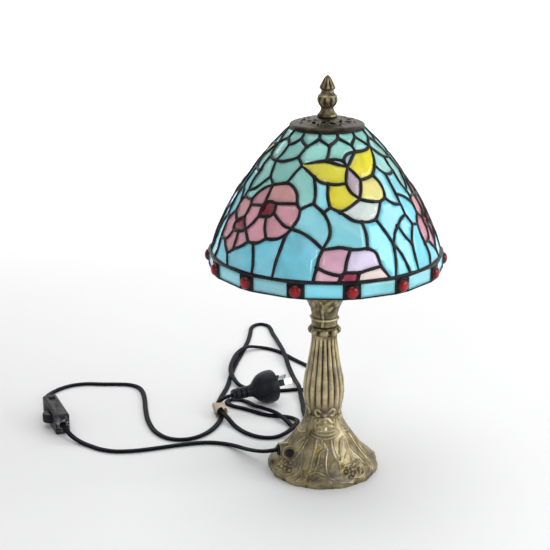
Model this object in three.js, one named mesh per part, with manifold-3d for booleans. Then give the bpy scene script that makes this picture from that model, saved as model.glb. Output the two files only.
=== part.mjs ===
// Leaded-glass table lamp: cast brass base and column, stacked on one threaded tube, a small screw
// lampholder with its bulb, a wire harp, a domed glass shade with a jewelled border, a pierced cap
// and a finial, and the flex with its in-line switch and plug.
// Millimetres, +Z up. The origin is the centre of the base's underside, and -Y is the front.

import * as THREE from 'three';
import { mergeVertices } from 'three/addons/utils/BufferGeometryUtils.js';
import Module from 'manifold-3d';

const wasm = await Module();
wasm.setup();

// ---- Driving dimensions -------------------------------------------------------------------

const GAP = 0.3; // left between pieces that touch
const ROUND = 36; // sides of the large turned pieces
const ROUND_SMALL = 20; // sides of the small turned pieces

const TUBE_R = 5; // threaded tube that clamps the whole stack, M10
const TUBE_BORE_R = 3.4;
const BORE_R = TUBE_R + 0.6; // hole that each stacked piece has for the tube
const TUBE_Z = [29, 172];

const FOOT_R = 49.5;
const WAIST_Z = 53; // joint between the base casting and the column
const NECK_Z = 127; // joint between the column and the neck ring
const CUP_Z = 134.8; // joint between the neck ring and the cup
const CUP_TOP_Z = 165;

const SHADE_SIDES = 14; // jewels, and flat tiles between them, round the border
const SHADE_R = 100; // over the border's solder pads
const SHADE_FIRST_JEWEL_DEG = -15.9; // measured from the front, towards +X
const JEWEL_R = 5.2;
const JEWEL_RISE = 4;
const PAD_HALF = 6.4; // half the width of the pad behind a jewel
const GLASS = 3; // thickness of the glass with its solder
const BORDER_BOTTOM_Z = 189.5;
const BORDER_TOP_Z = 203.7;
const DOME_TOP_Z = 308.8;
const DOME_SECTORS = 6;
const CAP_Z = 309.1; // lower edge of the pierced cap
const CAP_TOP_Z = 316;

const STUD_R = 2.5; // threaded stud on the harp's top
const FINIAL_Z = CAP_TOP_Z + GAP;
const LAMP_TOP_Z = 350.5;

const CORD_WIDTH = 5; // flat twin flex
const CORD_THICK = 2.8;
const CORD_Z = 1.7; // height of the flex's middle where it lies on the table
const CORD_OVER_Z = 5.3; // and where it passes over another stretch

// ---- Finishes -----------------------------------------------------------------------------

function finish(color, roughness, metalness, more = {}) {
  return new THREE.MeshStandardMaterial({ color, roughness, metalness, ...more });
}

const brass = finish(0x7d6c40, 0.45, 0.9);
const steel = finish(0xb4b4b0, 0.35, 1);
const lead = finish(0x2c2a28, 0.5, 0.7);
const felt = finish(0x1d3a2a, 1, 0);
const blackPlastic = finish(0x141416, 0.4, 0);
const blackFlex = finish(0x101012, 0.5, 0);
const porcelain = finish(0xe8e4da, 0.3, 0);
const turquoise = finish(0x78c4cc, 0.25, 0);
const ruby = finish(0xb00c16, 0.08, 0);
const opal = finish(0xf2efe6, 0.3, 0);
const tape = finish(0xc9b08a, 0.8, 0);

// ---- Shaping helpers ----------------------------------------------------------------------

const lamp = new THREE.Group();

function part(name, geometry, material, parent = lamp) {
  const mesh = new THREE.Mesh(geometry, material);
  mesh.name = name;
  parent.add(mesh);
  return mesh;
}

function toSolid(geometry) {
  const bare = geometry.clone();
  bare.deleteAttribute('normal');
  bare.deleteAttribute('uv');
  const merged = mergeVertices(bare, 1e-4);
  const corners = merged.index.array;
  const kept = [];
  for (let i = 0; i < corners.length; i += 3) {
    const [a, b, c] = corners.slice(i, i + 3);
    if (a !== b && b !== c && c !== a) kept.push(a, b, c);
  }
  return new wasm.Manifold(new wasm.Mesh({
    numProp: 3,
    vertProperties: new Float32Array(merged.attributes.position.array),
    triVerts: new Uint32Array(kept),
  }));
}

function toGeometry(solid) {
  const mesh = solid.getMesh();
  const geometry = new THREE.BufferGeometry();
  geometry.setAttribute('position', new THREE.BufferAttribute(mesh.vertProperties, 3));
  geometry.setIndex(new THREE.BufferAttribute(mesh.triVerts, 1));
  geometry.computeVertexNormals();
  return geometry;
}

function cut(body, ...tools) {
  return toGeometry(tools.reduce((solid, tool) => solid.subtract(toSolid(tool)), toSolid(body)));
}

// A solid of revolution about Z. The profile is a list of [radius, height] that runs up the outside,
// and either starts and ends on the axis or closes on itself.
function turned(profile, sides = ROUND_SMALL) {
  const points = profile.map(([r, z]) => new THREE.Vector2(r, z));
  const closed = profile[0][0] > 0;
  if (closed) points.push(points[0].clone());
  return new THREE.LatheGeometry(points, sides).rotateX(Math.PI / 2);
}

function ring(innerR, outerR, bottom, top, sides = ROUND_SMALL) {
  return turned([[innerR, bottom], [outerR, bottom], [outerR, top], [innerR, top]], sides);
}

function rod(r, bottom, top, sides = 12) {
  return turned([[0, bottom], [r, bottom], [r, top], [0, top]], sides);
}

// A turned piece drawn along Z, set with its own zero at a point and its axis in a direction.
function aimed(geometry, point, direction) {
  const turn = new THREE.Quaternion().setFromUnitVectors(new THREE.Vector3(0, 0, 1), direction);
  return geometry.applyQuaternion(turn).translate(point.x, point.y, point.z);
}

function block(x, y, z) {
  const size = [x, y, z].map(([low, high]) => high - low);
  const middle = [x, y, z].map(([low, high]) => (low + high) / 2);
  return new THREE.BoxGeometry(...size).translate(...middle);
}

function roundedRectangle(width, height, corner) {
  const shape = new THREE.Shape();
  const [x, y] = [width / 2 - corner, height / 2 - corner];
  shape.absarc(x, y, corner, 0, Math.PI / 2);
  shape.absarc(-x, y, corner, Math.PI / 2, Math.PI);
  shape.absarc(-x, -y, corner, Math.PI, Math.PI * 1.5);
  shape.absarc(x, -y, corner, Math.PI * 1.5, Math.PI * 2);
  return shape;
}

function raised(shape, bottom, top, curveSegments = 4) {
  const options = { depth: top - bottom, bevelEnabled: false, curveSegments };
  return new THREE.ExtrudeGeometry(shape, options).translate(0, 0, bottom);
}

function polygon(points) {
  return new THREE.Shape(points.map(([x, y]) => new THREE.Vector2(x, y)));
}

// Direction at an angle measured from the front of the lamp (-Y) towards +X.
function facing(degrees) {
  const angle = THREE.MathUtils.degToRad(degrees);
  return new THREE.Vector3(Math.sin(angle), -Math.cos(angle), 0);
}

// Moves the outside of a turned piece in and out, crest by crest, to flute it.
function flute(geometry, sides, innerR, depthAt) {
  const position = geometry.attributes.position;
  for (let i = 0; i < position.count; i += 1) {
    const [x, y, z] = [position.getX(i), position.getY(i), position.getZ(i)];
    const r = Math.hypot(x, y);
    const step = Math.round((Math.atan2(y, x) / (2 * Math.PI)) * sides + sides);
    const scale = r > innerR && step % 2 ? 1 - depthAt(z) / r : 1;
    position.setXYZ(i, x * scale, y * scale, z);
  }
  return geometry;
}

// ---- Base ---------------------------------------------------------------------------------

const MOUTH = new THREE.Vector3(-39.5, -4.5, 17); // where the flex comes out of the foot
const MOUTH_OUT = facing(-76);
const MOUTH_R = 3.9;
const BARREL_R = 6.4; // short barrels round the mouth and the clamping screw
const CLAMP = new THREE.Vector3(-30, -18.5, 20.3); // end of the boss that holds the clamping screw
const CLAMP_OUT = new THREE.Vector3(0.1, -0.88, 0.46).normalize();

function baseCasting() {
  const cavity = [[46.2, 4.6], [36, 12], [22.4, 28], [12, 38]];
  const shell = turned([
    [46.2, 0], [49, 0], [FOOT_R, 3], [48.8, 6.5], [40, 13.6], [32.2, 22], [26.6, 30], [19, 41.5],
    [15.5, 49.5], [14.8, WAIST_Z - GAP], [BORE_R, WAIST_Z - GAP], [BORE_R, 38], ...[...cavity].reverse(),
  ], ROUND);
  const innards = turned([[0, -1], [46.2, -1], ...cavity, [0, 38]], ROUND);
  const mouthBarrel = aimed(rod(BARREL_R, -14, 0, 14), MOUTH, MOUTH_OUT);
  const clampBarrel = aimed(rod(BARREL_R, -12, 0, 14), CLAMP, CLAMP_OUT);
  const barrels = toSolid(mouthBarrel).add(toSolid(clampBarrel)).subtract(toSolid(innards));
  const tools = [
    aimed(rod(MOUTH_R, -16, 8), MOUTH, MOUTH_OUT),
    aimed(rod(5.2, 0, 10), MOUTH, MOUTH_OUT),
    aimed(rod(5, 0, 8), CLAMP, CLAMP_OUT),
    aimed(rod(1.8, -4, 1), CLAMP, CLAMP_OUT),
  ];
  const joined = toSolid(shell).add(barrels);
  return toGeometry(tools.reduce((solid, tool) => solid.subtract(toSolid(tool)), joined));
}

part('base_casting', baseCasting(), brass);
part('base_felt', rod(45.6, 0, 1.2, ROUND), felt);
part('base_washer', ring(BORE_R, 11, 36.2, 38 - GAP), steel);
part('base_nut', ring(BORE_R + 0.6, 9.6, 30.5, 36.2 - GAP, 6), steel);
part('threaded_tube', ring(TUBE_BORE_R, TUBE_R, ...TUBE_Z, 16), steel);

const bush = turned([[3, -6], [3.6, -6], [3.6, GAP], [4.7, GAP], [4.7, 1.5], [3, 1.5]], 12);
part('cord_bush', aimed(bush, MOUTH, MOUTH_OUT), blackPlastic);

const clampScrew = turned([
  [0, -3.6], [1.5, -3.6], [1.5, GAP], [3.9, GAP], [3.9, 1.8], [2.9, 2.6], [0, 2.6],
], 14);
part('clamp_screw', aimed(clampScrew, CLAMP, CLAMP_OUT), blackPlastic);

// ---- Column, neck ring and cup ------------------------------------------------------------

const column = turned([
  [BORE_R, WAIST_Z], [14.5, WAIST_Z], [15.6, 58], [17.6, 66], [18.3, 75], [17.1, 87], [15.1, 97],
  [11.3, 121], [11.3, NECK_Z - GAP], [BORE_R, NECK_Z - GAP],
], ROUND);
const fluted = (z) => (z > 57 && z < 122 ? 1.1 : 0);
part('column_casting', flute(column, ROUND, 9, fluted), brass);

const neckRing = turned([
  [BORE_R, NECK_Z], [11.4, NECK_Z], [13.7, 128.2], [14.4, 130.4], [13.8, 132.8], [11.3, CUP_Z - GAP],
  [BORE_R, CUP_Z - GAP],
], 28);
part('neck_ring', flute(neckRing, 28, 13, () => 0.8), brass);

part('lamp_cup', turned([
  [BORE_R, CUP_Z], [11.2, CUP_Z], [10.7, 138], [11, 140.8], [10.7, 143.5], [11.6, 148], [12.8, 152],
  [15.4, 157], [18.4, 162], [19.4, CUP_TOP_Z], [18.2, CUP_TOP_Z], [16.8, 161.6], [13.6, 156.8],
  [10.8, 153.4], [BORE_R, 153.4],
], ROUND_SMALL), brass);

// ---- Lampholder and bulb ------------------------------------------------------------------

const HOLDER_Z = 167.1;

part('lampholder_cap', turned([
  [BORE_R, HOLDER_Z], [12.6, HOLDER_Z], [13.6, 169], [13.6, 173.2], [BORE_R, 173.2],
]), brass);
part('lampholder_skirt', turned([
  [12.2, 173.5], [13.8, 173.5], [13.8, 197], [13.2, 206.5], [12.2, 206.5],
]), blackPlastic);
part('lampholder_insulator', ring(2.7, 11.8, 173.6, 180.2), porcelain);
part('lampholder_shell', turned([
  [5.4, 180.5], [11.6, 180.5], [11.6, 181.3], [8.2, 181.3], [8.2, 204.5], [7.4, 204.5], [7.4, 181.3],
  [5.4, 181.3],
]), brass);
part('lampholder_contact', block([-4.5, 4.5], [-1.6, 1.6], [180.5, 181.1]), brass);

part('bulb_contact', rod(2.5, 181.5, 183.6), lead);
part('bulb_cap', turned([[0, 183.9], [3.8, 183.9], [6.9, 187], [6.9, 205.7], [0, 205.7]]), brass);

const BULB_R = 22.4;
const BULB_MIDDLE_Z = 240;
const BULB_WALL = 1.2;

// Heights and radii of the globe between its neck and the point where it closes on the axis.
function globeArc(r, fromRadius, steps) {
  const start = Math.asin(fromRadius / r);
  const points = [];
  for (let i = 0; i <= steps; i += 1) {
    const angle = Math.PI - start - ((Math.PI - start) * i) / steps;
    points.push([i === steps ? 0 : r * Math.sin(angle), BULB_MIDDLE_Z + r * Math.cos(angle)]);
  }
  return points;
}

part('bulb_glass', turned([
  [0, 262.4 - BULB_WALL], ...globeArc(BULB_R - BULB_WALL, 9.4, 6).reverse().slice(1), [7.6, 206], [8.8, 206],
  ...globeArc(BULB_R, 10.6, 6),
], 16), opal);

// ---- Harp ---------------------------------------------------------------------------------

const WIRE_R = 1.5;
const LEG_X = 27.2;
const HARP_TOP_Z = 300.6;

const saddle = polygon([
  [-30.5, 178], [-30.5, CUP_TOP_Z + GAP], [30.5, CUP_TOP_Z + GAP], [30.5, 178], [29, 178],
  [29, HOLDER_Z - GAP], [-29, HOLDER_Z - GAP], [-29, 178],
]);
const STRIP_HALF = 6; // half the width of the saddle's strip
const saddleStrip = raised(saddle, -STRIP_HALF, STRIP_HALF).rotateX(Math.PI / 2);
part('harp_saddle', cut(saddleStrip, rod(BORE_R, 160, 175, ROUND_SMALL)), brass);

function tubeAlong(curve, r, steps, sides = 8) {
  const section = new THREE.Shape().absarc(0, 0, r, 0, Math.PI * 2);
  const corners = section.getSpacedPoints(sides).slice(0, sides);
  return new THREE.ExtrudeGeometry(new THREE.Shape(corners), { steps, extrudePath: curve });
}

const harpSide = [
  [LEG_X, 168], [LEG_X, 181], [29.6, 212], [29.6, 246], [25, 276], [14.5, 294], [5, HARP_TOP_Z],
];
const harpLine = [
  ...harpSide.map(([x, z]) => new THREE.Vector3(-x, 0, z)),
  ...[...harpSide].reverse().map(([x, z]) => new THREE.Vector3(x, 0, z)),
];
part('harp_bow', tubeAlong(new THREE.CatmullRomCurve3(harpLine), WIRE_R, 28), brass);

const SEAT_Z = HARP_TOP_Z + WIRE_R + 3 * GAP;
part('harp_stud', turned([
  [0, SEAT_Z], [6.5, SEAT_Z], [6.5, 304.9], [STUD_R, 304.9], [STUD_R, 321.8], [0, 321.8],
], 14), brass);

// ---- Shade --------------------------------------------------------------------------------

const DOME = [
  [97.9, BORDER_TOP_Z + GAP], [94.8, 214], [87, 232.5], [77.6, 250.7], [65.8, 268], [50.7, 288],
  [39.5, 300], [31, DOME_TOP_Z],
];

// The same outline moved inwards by the thickness of the glass.
function inset(profile, depth) {
  return profile.map(([r, z], i) => {
    const before = profile[Math.max(i - 1, 0)];
    const after = profile[Math.min(i + 1, profile.length - 1)];
    const [dr, dz] = [after[0] - before[0], after[1] - before[1]];
    const length = Math.hypot(dr, dz);
    return [r - (depth * dz) / length, z + (depth * dr) / length];
  });
}

const domeInside = inset(DOME, GLASS);
domeInside[0][1] = BORDER_TOP_Z + GAP;
const dome = toSolid(turned([...DOME, ...domeInside.reverse()], ROUND));
const sectorDegrees = 360 / DOME_SECTORS;
const WEDGE_R = 160; // beyond the dome's edge
for (let k = 0; k < DOME_SECTORS; k += 1) {
  const low = facing(SHADE_FIRST_JEWEL_DEG + sectorDegrees * k);
  const high = facing(SHADE_FIRST_JEWEL_DEG + sectorDegrees * (k + 1));
  const middle = low.clone().add(high).normalize();
  const tip = middle.clone().multiplyScalar(GAP);
  const corners = [tip, low.multiplyScalar(WEDGE_R).add(tip), high.multiplyScalar(WEDGE_R).add(tip)];
  const wedge = raised(polygon(corners.map((p) => [p.x, p.y])), 190, 320);
  part(`dome_glass_${k + 1}`, toGeometry(dome.intersect(toSolid(wedge))), turquoise);
}

// Outline of the border: a long flat for each tile and a short one for each jewel's pad.
function borderOutline(r) {
  const points = [];
  for (let k = 0; k < SHADE_SIDES; k += 1) {
    const out = facing(SHADE_FIRST_JEWEL_DEG + (360 / SHADE_SIDES) * k);
    const along = new THREE.Vector3(-out.y, out.x, 0);
    for (const side of [-1, 1]) {
      points.push(out.clone().multiplyScalar(r).addScaledVector(along, side * PAD_HALF));
    }
  }
  return points.map((p) => new THREE.Vector2(p.x, p.y));
}

function borderRing(outerR, innerR, bottom, top) {
  const shape = new THREE.Shape(borderOutline(outerR));
  shape.holes.push(new THREE.Path(borderOutline(innerR)));
  return raised(shape, bottom, top);
}

part('border_tiles', borderRing(SHADE_R - 0.6, SHADE_R - 3.2, 191.2, 201.4), turquoise);
part('border_lower_came', borderRing(SHADE_R, SHADE_R - 3.8, BORDER_BOTTOM_Z, 190.9), lead);
part('border_upper_came', borderRing(SHADE_R - 0.2, SHADE_R - 4.4, 201.7, BORDER_TOP_Z), lead);

const JEWEL_Z = 196.2;
for (let k = 0; k < SHADE_SIDES; k += 1) {
  const angle = SHADE_FIRST_JEWEL_DEG + (360 / SHADE_SIDES) * k;
  const cabochon = turned([[0, 0], [JEWEL_R, 0], [4.7, 1.9], [2.9, 3.4], [0, JEWEL_RISE]], 10);
  const name = `jewel_${String(k + 1).padStart(2, '0')}`;
  const jewel = part(name, cabochon, ruby);
  const out = facing(angle);
  jewel.position.copy(out).multiplyScalar(SHADE_R - 0.6 + GAP).setZ(JEWEL_Z);
  jewel.quaternion.setFromUnitVectors(new THREE.Vector3(0, 0, 1), out);
}

// The ring soldered inside the shade's neck, which sits on the harp's stud.
function shadeRing() {
  const shape = new THREE.Shape().absarc(0, 0, 27.6, 0, Math.PI * 2);
  shape.holes.push(new THREE.Path().absarc(0, 0, STUD_R + 0.7, 0, Math.PI * 2, true));
  for (let k = 0; k < 3; k += 1) {
    const [from, to] = [k * 120 + 12, k * 120 + 108].map(THREE.MathUtils.degToRad);
    const opening = new THREE.Path();
    opening.absarc(0, 0, 24, from, to, false);
    opening.absarc(0, 0, 10.5, to, from, true);
    shape.holes.push(opening);
  }
  return raised(shape, 304.9 + GAP, 307.2, 7);
}

part('shade_ring', shadeRing(), brass);

const cap = turned([
  [29.4, CAP_Z], [30.8, CAP_Z], [31.1, 310], [29.6, 311.3], [17, 314.5], [9.6, CAP_TOP_Z],
  [STUD_R + 0.7, CAP_TOP_Z], [STUD_R + 0.7, 314.6], [9, 314.4], [16.6, 313.2], [28.4, 310.2],
], 24);
const CAP_HOLES = 8;
const CAP_HOLES_R = 20.2; // radius of the circle that the holes stand on
const capHoles = Array.from({ length: CAP_HOLES }, (_, k) => {
  const place = facing((360 / CAP_HOLES) * (k + 0.5)).multiplyScalar(CAP_HOLES_R);
  return rod(2.4, 305, 320, 6).translate(place.x, place.y, 0);
});
part('heat_cap', cut(cap, ...capHoles), brass);

// ---- Finial -------------------------------------------------------------------------------

part('finial_insert', ring(STUD_R + 0.3, 3.8, FINIAL_Z, 322.2, 14), brass);
part('finial', turned([
  [4.1, FINIAL_Z], [8.2, FINIAL_Z], [8.3, 318], [6.5, 320.2], [5.3, 323.4], [7, 326], [8.6, 329.6],
  [8.1, 333.2], [5.2, 336.8], [6.8, 340.4], [4.9, 344.4], [2.5, 348.6], [0, LAMP_TOP_Z], [0, 322.5],
  [4.1, 322.5],
], 16), brass);

// ---- Flex ---------------------------------------------------------------------------------

// A route with a step at each of its points, and level frames, so that the flat flex lies flat.
class LevelRoute extends THREE.CatmullRomCurve3 {
  getPointAt(u, target) {
    return this.getPoint(u, target);
  }

  getTangentAt(u, target) {
    return this.getTangent(u, target);
  }

  computeFrenetFrames(steps) {
    const frames = { tangents: [], normals: [], binormals: [] };
    for (let i = 0; i <= steps; i += 1) {
      const tangent = this.getTangentAt(i / steps);
      const normal = new THREE.Vector3(0, 0, 1).addScaledVector(tangent, -tangent.z).normalize();
      frames.tangents.push(tangent);
      frames.normals.push(normal);
      frames.binormals.push(new THREE.Vector3().crossVectors(tangent, normal));
    }
    return frames;
  }
}

function flex(points) {
  const route = new LevelRoute(points.map(([x, y, z = CORD_Z]) => new THREE.Vector3(x, y, z)));
  const [w, t] = [CORD_WIDTH / 2, CORD_THICK / 2];
  const half = [[t / 2, -w], [t, -w * 0.6], [t, w * 0.6], [t / 2, w]];
  const section = polygon([...half, ...half.map(([x, y]) => [-x, -y])]);
  return new THREE.ExtrudeGeometry(section, { steps: points.length - 1, extrudePath: route });
}

// From the foot to the switch.
const LAMP_LEAD = [
  [-41.3, -4.95, 17], [-46, -6, 16.6], [-52, -5, 15.4], [-58.5, 0.5, 13], [-64.5, 9, 9.8], [-71, 20, 6],
  [-79, 31, 3.2], [-90, 39.3], [-105, 42], [-120, 40], [-136, 35.5], [-154, 29.5], [-172, 24.5],
  [-190, 23.2], [-204, 27.5], [-216, 35.5], [-226, 42.5, 2.6], [-234.5, 49, 5.4], [-240.4, 56, 8.4],
  [-243.4, 61, 9.8], [-245.4, 65.4, 10],
];

// From the switch, through the tie, round the two loops and back through the tie to the plug.
const SUPPLY_LEAD = [
  [-265, 110.3, 10], [-267, 115, 10], [-271, 126, 8.6], [-274.2, 140, 5], [-273, 156, 2.2], [-265.5, 170],
  [-254, 179.5], [-240, 183.5], [-224, 182.6], [-208, 182.5], [-195, 181], [-185, 174], [-179.5, 162],
  [-175.5, 144], [-171.5, 116], [-165.5, 87], [-156, 64], [-143.5, 51], [-130, 48.2], [-117.5, 53],
  [-107.5, 63.5], [-101, 76], [-97, 89, 1.9], [-95.3, 100, 2.6], [-97.5, 109, 2.7], [-99.7, 118, 2.6],
  [-100.6, 128, 2], [-98.4, 145], [-92.8, 175], [-90, 205], [-86.5, 235], [-79.5, 275], [-73.8, 312],
  [-71.8, 338], [-71, 352], [-67.3, 362.3], [-59.8, 367.2], [-52.3, 362.3], [-48.3, 351], [-46.3, 338],
  [-42, 318, 2], [-37.8, 292, 4.2], [-34.2, 270.5, CORD_OVER_Z], [-31, 250, 4.4], [-28, 230, 2.2],
  [-24, 205], [-21, 186, 3.2], [-18.4, 168, CORD_OVER_Z], [-16.6, 150, 3], [-15, 130], [-14.3, 112],
  [-12, 98, 2.2],
  [-5, 88.5, 4], [6, 85, CORD_OVER_Z], [15.5, 90, 4.2], [19.8, 104, 2], [19, 130], [17.5, 158], [14, 188],
  [6, 214], [-7, 233], [-21, 251.5], [-34, 270.5], [-46, 283], [-60, 288, 2.4], [-74, 283, 4.9],
  [-83.5, 266, CORD_OVER_Z], [-89, 240, CORD_OVER_Z], [-90.5, 214, CORD_OVER_Z], [-87, 192, 5.2],
  [-79.5, 177, 2.6], [-66, 168.5], [-50, 165], [-34, 166], [-19, 168.5], [-6, 165.5], [3, 155], [5.5, 141],
  [5, 122], [7, 102], [8, 86], [3, 73], [-8, 66.5], [-18.5, 69], [-26, 78], [-33.5, 90, 3.6],
  [-42.5, 102, CORD_OVER_Z], [-54, 114.5, 4.2], [-64, 126.5, 2.2], [-72, 137.5], [-80.5, 142.5],
  [-88.5, 141.5], [-91.6, 134.8], [-86.5, 127.5], [-76, 121], [-65, 113.5], [-54.5, 106], [-43, 102.2],
  [-31, 100], [-22.5, 91.5, 2.6], [-21.6, 80, 4.9], [-24.8, 70, CORD_OVER_Z], [-31.5, 60, 3.6], [-43, 53.4],
  [-56, 53.5], [-69, 61.5], [-81, 77.5], [-89.3, 90.5, 5], [-94.2, 100, 6.2], [-96.9, 109, 6.3],
  [-98.8, 115.4, 7.7], [-97.3, 119.3, 10.4], [-92.3, 120.1, 13.5], [-85.9, 123.05, 14.57],
];

part('lamp_lead', flex(LAMP_LEAD), blackFlex);
part('supply_lead', flex(SUPPLY_LEAD), blackFlex);

// A wrap of tape that binds two stretches of the flex, one on the other.
const TIE = { width: 8.8, height: 10.2, length: 13 };
const tieOutline = roundedRectangle(TIE.width, TIE.height, 1.2);
tieOutline.holes.push(roundedRectangle(TIE.width - 1.2, TIE.height - 1.2, 0.4));
const tie = raised(tieOutline, -TIE.length / 2, TIE.length / 2, 3).rotateX(Math.PI / 2);
const tieMesh = part('cord_tie', tie, tape);
tieMesh.position.set(-97.2, 109, TIE.height / 2 + GAP / 2);
tieMesh.rotation.z = THREE.MathUtils.degToRad(15.4);

// ---- In-line switch -----------------------------------------------------------------------

const SWITCH = { length: 54, width: 14, height: 20 };
const WHEEL = { r: 7.3, thick: 9, at: [-3.6, 6.6] };
const AXLE = { r: 1.6, length: 13 };

const switchGroup = new THREE.Group();
switchGroup.position.set(-255.2, 88, 0);
switchGroup.rotation.z = THREE.MathUtils.degToRad(113.6);
lamp.add(switchGroup);

function switchHalf(bottom, top) {
  const outline = roundedRectangle(SWITCH.length, SWITCH.width, 2.4);
  const middle = SWITCH.height / 2;
  const pocket = (r, height) => rod(r, middle - height / 2, middle + height / 2).translate(...WHEEL.at, 0);
  const wheelPocket = pocket(WHEEL.r + 0.5, WHEEL.thick + 1);
  const axlePocket = pocket(AXLE.r + GAP, AXLE.length + 1);
  const flexWay = block([-30, 30], [-2.8, 2.8], [middle - 1.7, middle + 1.7]);
  const screwWay = rod(1.7, 3, 21, 10).translate(14, 0, 0);
  const headRecess = rod(3.2, SWITCH.height - 2.2, 21, 12).translate(14, 0, 0);
  return cut(raised(outline, bottom, top), wheelPocket, axlePocket, flexWay, screwWay, headRecess);
}

part('switch_base', switchHalf(0, SWITCH.height / 2 - GAP / 2), blackPlastic, switchGroup);
part('switch_cover', switchHalf(SWITCH.height / 2 + GAP / 2, SWITCH.height), blackPlastic, switchGroup);
const [tread, axle] = [WHEEL.thick / 2, AXLE.length / 2];
const wheel = turned([
  [0, -axle], [AXLE.r, -axle], [AXLE.r, -tread], [WHEEL.r, -tread], [WHEEL.r, tread], [AXLE.r, tread],
  [AXLE.r, axle], [0, axle],
]);
part('switch_wheel', wheel.translate(...WHEEL.at, SWITCH.height / 2), blackPlastic, switchGroup);
const switchScrew = turned([[0, 3.6], [1.3, 3.6], [1.3, 18.1], [2.8, 18.1], [2.8, 19.6], [0, 19.6]], 10);
part('switch_screw', switchScrew.translate(14, 0, 0), steel, switchGroup);

// ---- Plug ---------------------------------------------------------------------------------

const PIN = { length: 17, width: 6.3, thick: 1.6, apart: 13.7, above: 3.9, lean: 30 };

const plugGroup = new THREE.Group();
plugGroup.position.set(-44.3, 143.3, 17);
plugGroup.rotation.set(0, THREE.MathUtils.degToRad(-3), THREE.MathUtils.degToRad(26), 'ZYX');
lamp.add(plugGroup);

const plugBody = turned([
  [0, -46], [4.6, -46], [5, -43], [4.3, -42.6], [4.3, -41.4], [5.3, -41], [5.3, -38], [4.6, -37.6],
  [4.6, -36.4], [5.6, -36], [5.9, -27], [8.2, -22.6], [10.8, -20], [14.2, -15.5], [16, -11], [16.3, -8],
  [16.3, -1.6], [15.2, 0], [0, 0],
], 14);
part('plug_body', plugBody.rotateY(Math.PI / 2), blackPlastic, plugGroup);

['plug_pin_near', 'plug_pin_far'].forEach((name, i) => {
  const side = i ? -1 : 1;
  const blade = block([GAP, PIN.length], [-PIN.thick / 2, PIN.thick / 2], [-PIN.width / 2, PIN.width / 2]);
  blade.rotateX(THREE.MathUtils.degToRad(-side * PIN.lean));
  part(name, blade.translate(0, (-side * PIN.apart) / 2, PIN.above), steel, plugGroup);
});

export default lamp;
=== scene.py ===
import math
import random

import bmesh
import bpy
import numpy as np
from mathutils import Matrix, Vector, noise
from mathutils.geometry import delaunay_2d_cdt


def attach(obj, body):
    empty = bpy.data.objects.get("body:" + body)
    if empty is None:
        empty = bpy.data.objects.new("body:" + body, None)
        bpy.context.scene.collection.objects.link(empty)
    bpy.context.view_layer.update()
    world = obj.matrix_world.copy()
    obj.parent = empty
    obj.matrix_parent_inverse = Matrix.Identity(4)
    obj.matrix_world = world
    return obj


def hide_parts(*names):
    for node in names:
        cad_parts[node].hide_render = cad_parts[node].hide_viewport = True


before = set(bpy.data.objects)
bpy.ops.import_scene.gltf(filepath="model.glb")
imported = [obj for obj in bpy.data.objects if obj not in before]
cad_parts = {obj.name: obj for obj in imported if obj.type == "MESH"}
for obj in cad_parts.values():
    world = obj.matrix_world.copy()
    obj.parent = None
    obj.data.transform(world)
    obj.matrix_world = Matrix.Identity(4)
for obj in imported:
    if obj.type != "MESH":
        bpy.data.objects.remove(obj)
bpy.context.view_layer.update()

# Leaded-glass table lamp. Every shape is worked out in millimetres in the CAD frame, and becomes
# metres when its mesh is made. Angles called theta are degrees from the front (-Y) towards +X.

MM = 0.001
scene = bpy.context.scene
scene.view_settings.view_transform = "Standard"


# ---- Camera and light ----

CAMERA_PLACE = (-0.043, -0.987, 0.492)
CAMERA_TILT = 17.58  # degrees below level


def add(name, data, place=(0, 0, 0), turn=(0, 0, 0)):
    """Puts a new object in the scene."""
    made = bpy.data.objects.new(name, data)
    made.location = place
    made.rotation_euler = turn
    scene.collection.objects.link(made)
    return made


def make_camera():
    data = bpy.data.cameras.new("camera")
    data.sensor_width = 36
    data.lens = 79
    data.clip_end = 20
    scene.camera = add("camera", data, CAMERA_PLACE, (math.radians(90 - CAMERA_TILT), 0, 0))


def make_light(kind, name, place, target, power, **settings):
    data = bpy.data.lights.new(name, kind)
    data.energy = power
    for key, value in settings.items():
        setattr(data, key, value)
    add(name, data, place, (Vector(target) - Vector(place)).to_track_quat("-Z", "Y").to_euler())


def make_world():
    """A pale room, brightest at the horizon, where the floor ends."""
    world = bpy.data.worlds.new("studio")
    world.use_nodes = True
    nodes, links = world.node_tree.nodes, world.node_tree.links
    axes = nodes.new("ShaderNodeSeparateXYZ")
    fade = nodes.new("ShaderNodeMapRange")
    for name, value in (("From Min", 0.02), ("From Max", 0.3), ("To Min", 0.62), ("To Max", 0.4)):
        fade.inputs[name].default_value = value
    links.new(nodes.new("ShaderNodeTexCoord").outputs["Generated"], axes.inputs[0])
    links.new(axes.outputs["Z"], fade.inputs["Value"])
    links.new(fade.outputs["Result"], nodes["Background"].inputs["Color"])
    scene.world = world


make_camera()
make_light("AREA", "window", (1.3, -0.35, 0.75), (0, 0, 0.2), 14, shape="RECTANGLE", size=1.5, size_y=0.9)
make_light("AREA", "backdrop", (0, 2.3, 1.5), (0, 2.6, 0), 63, shape="RECTANGLE", size=4, size_y=1.8)
make_light("SUN", "sky", (-0.1, 0.2, 1.7), (0, 0, 0.1), 0.85, angle=math.radians(55))
make_light("POINT", "lamp", (-0.35, -1.3, 0.8), (0, 0, 0.2), 9, shadow_soft_size=0.12)
make_world()


# ---- Materials ----

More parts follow.
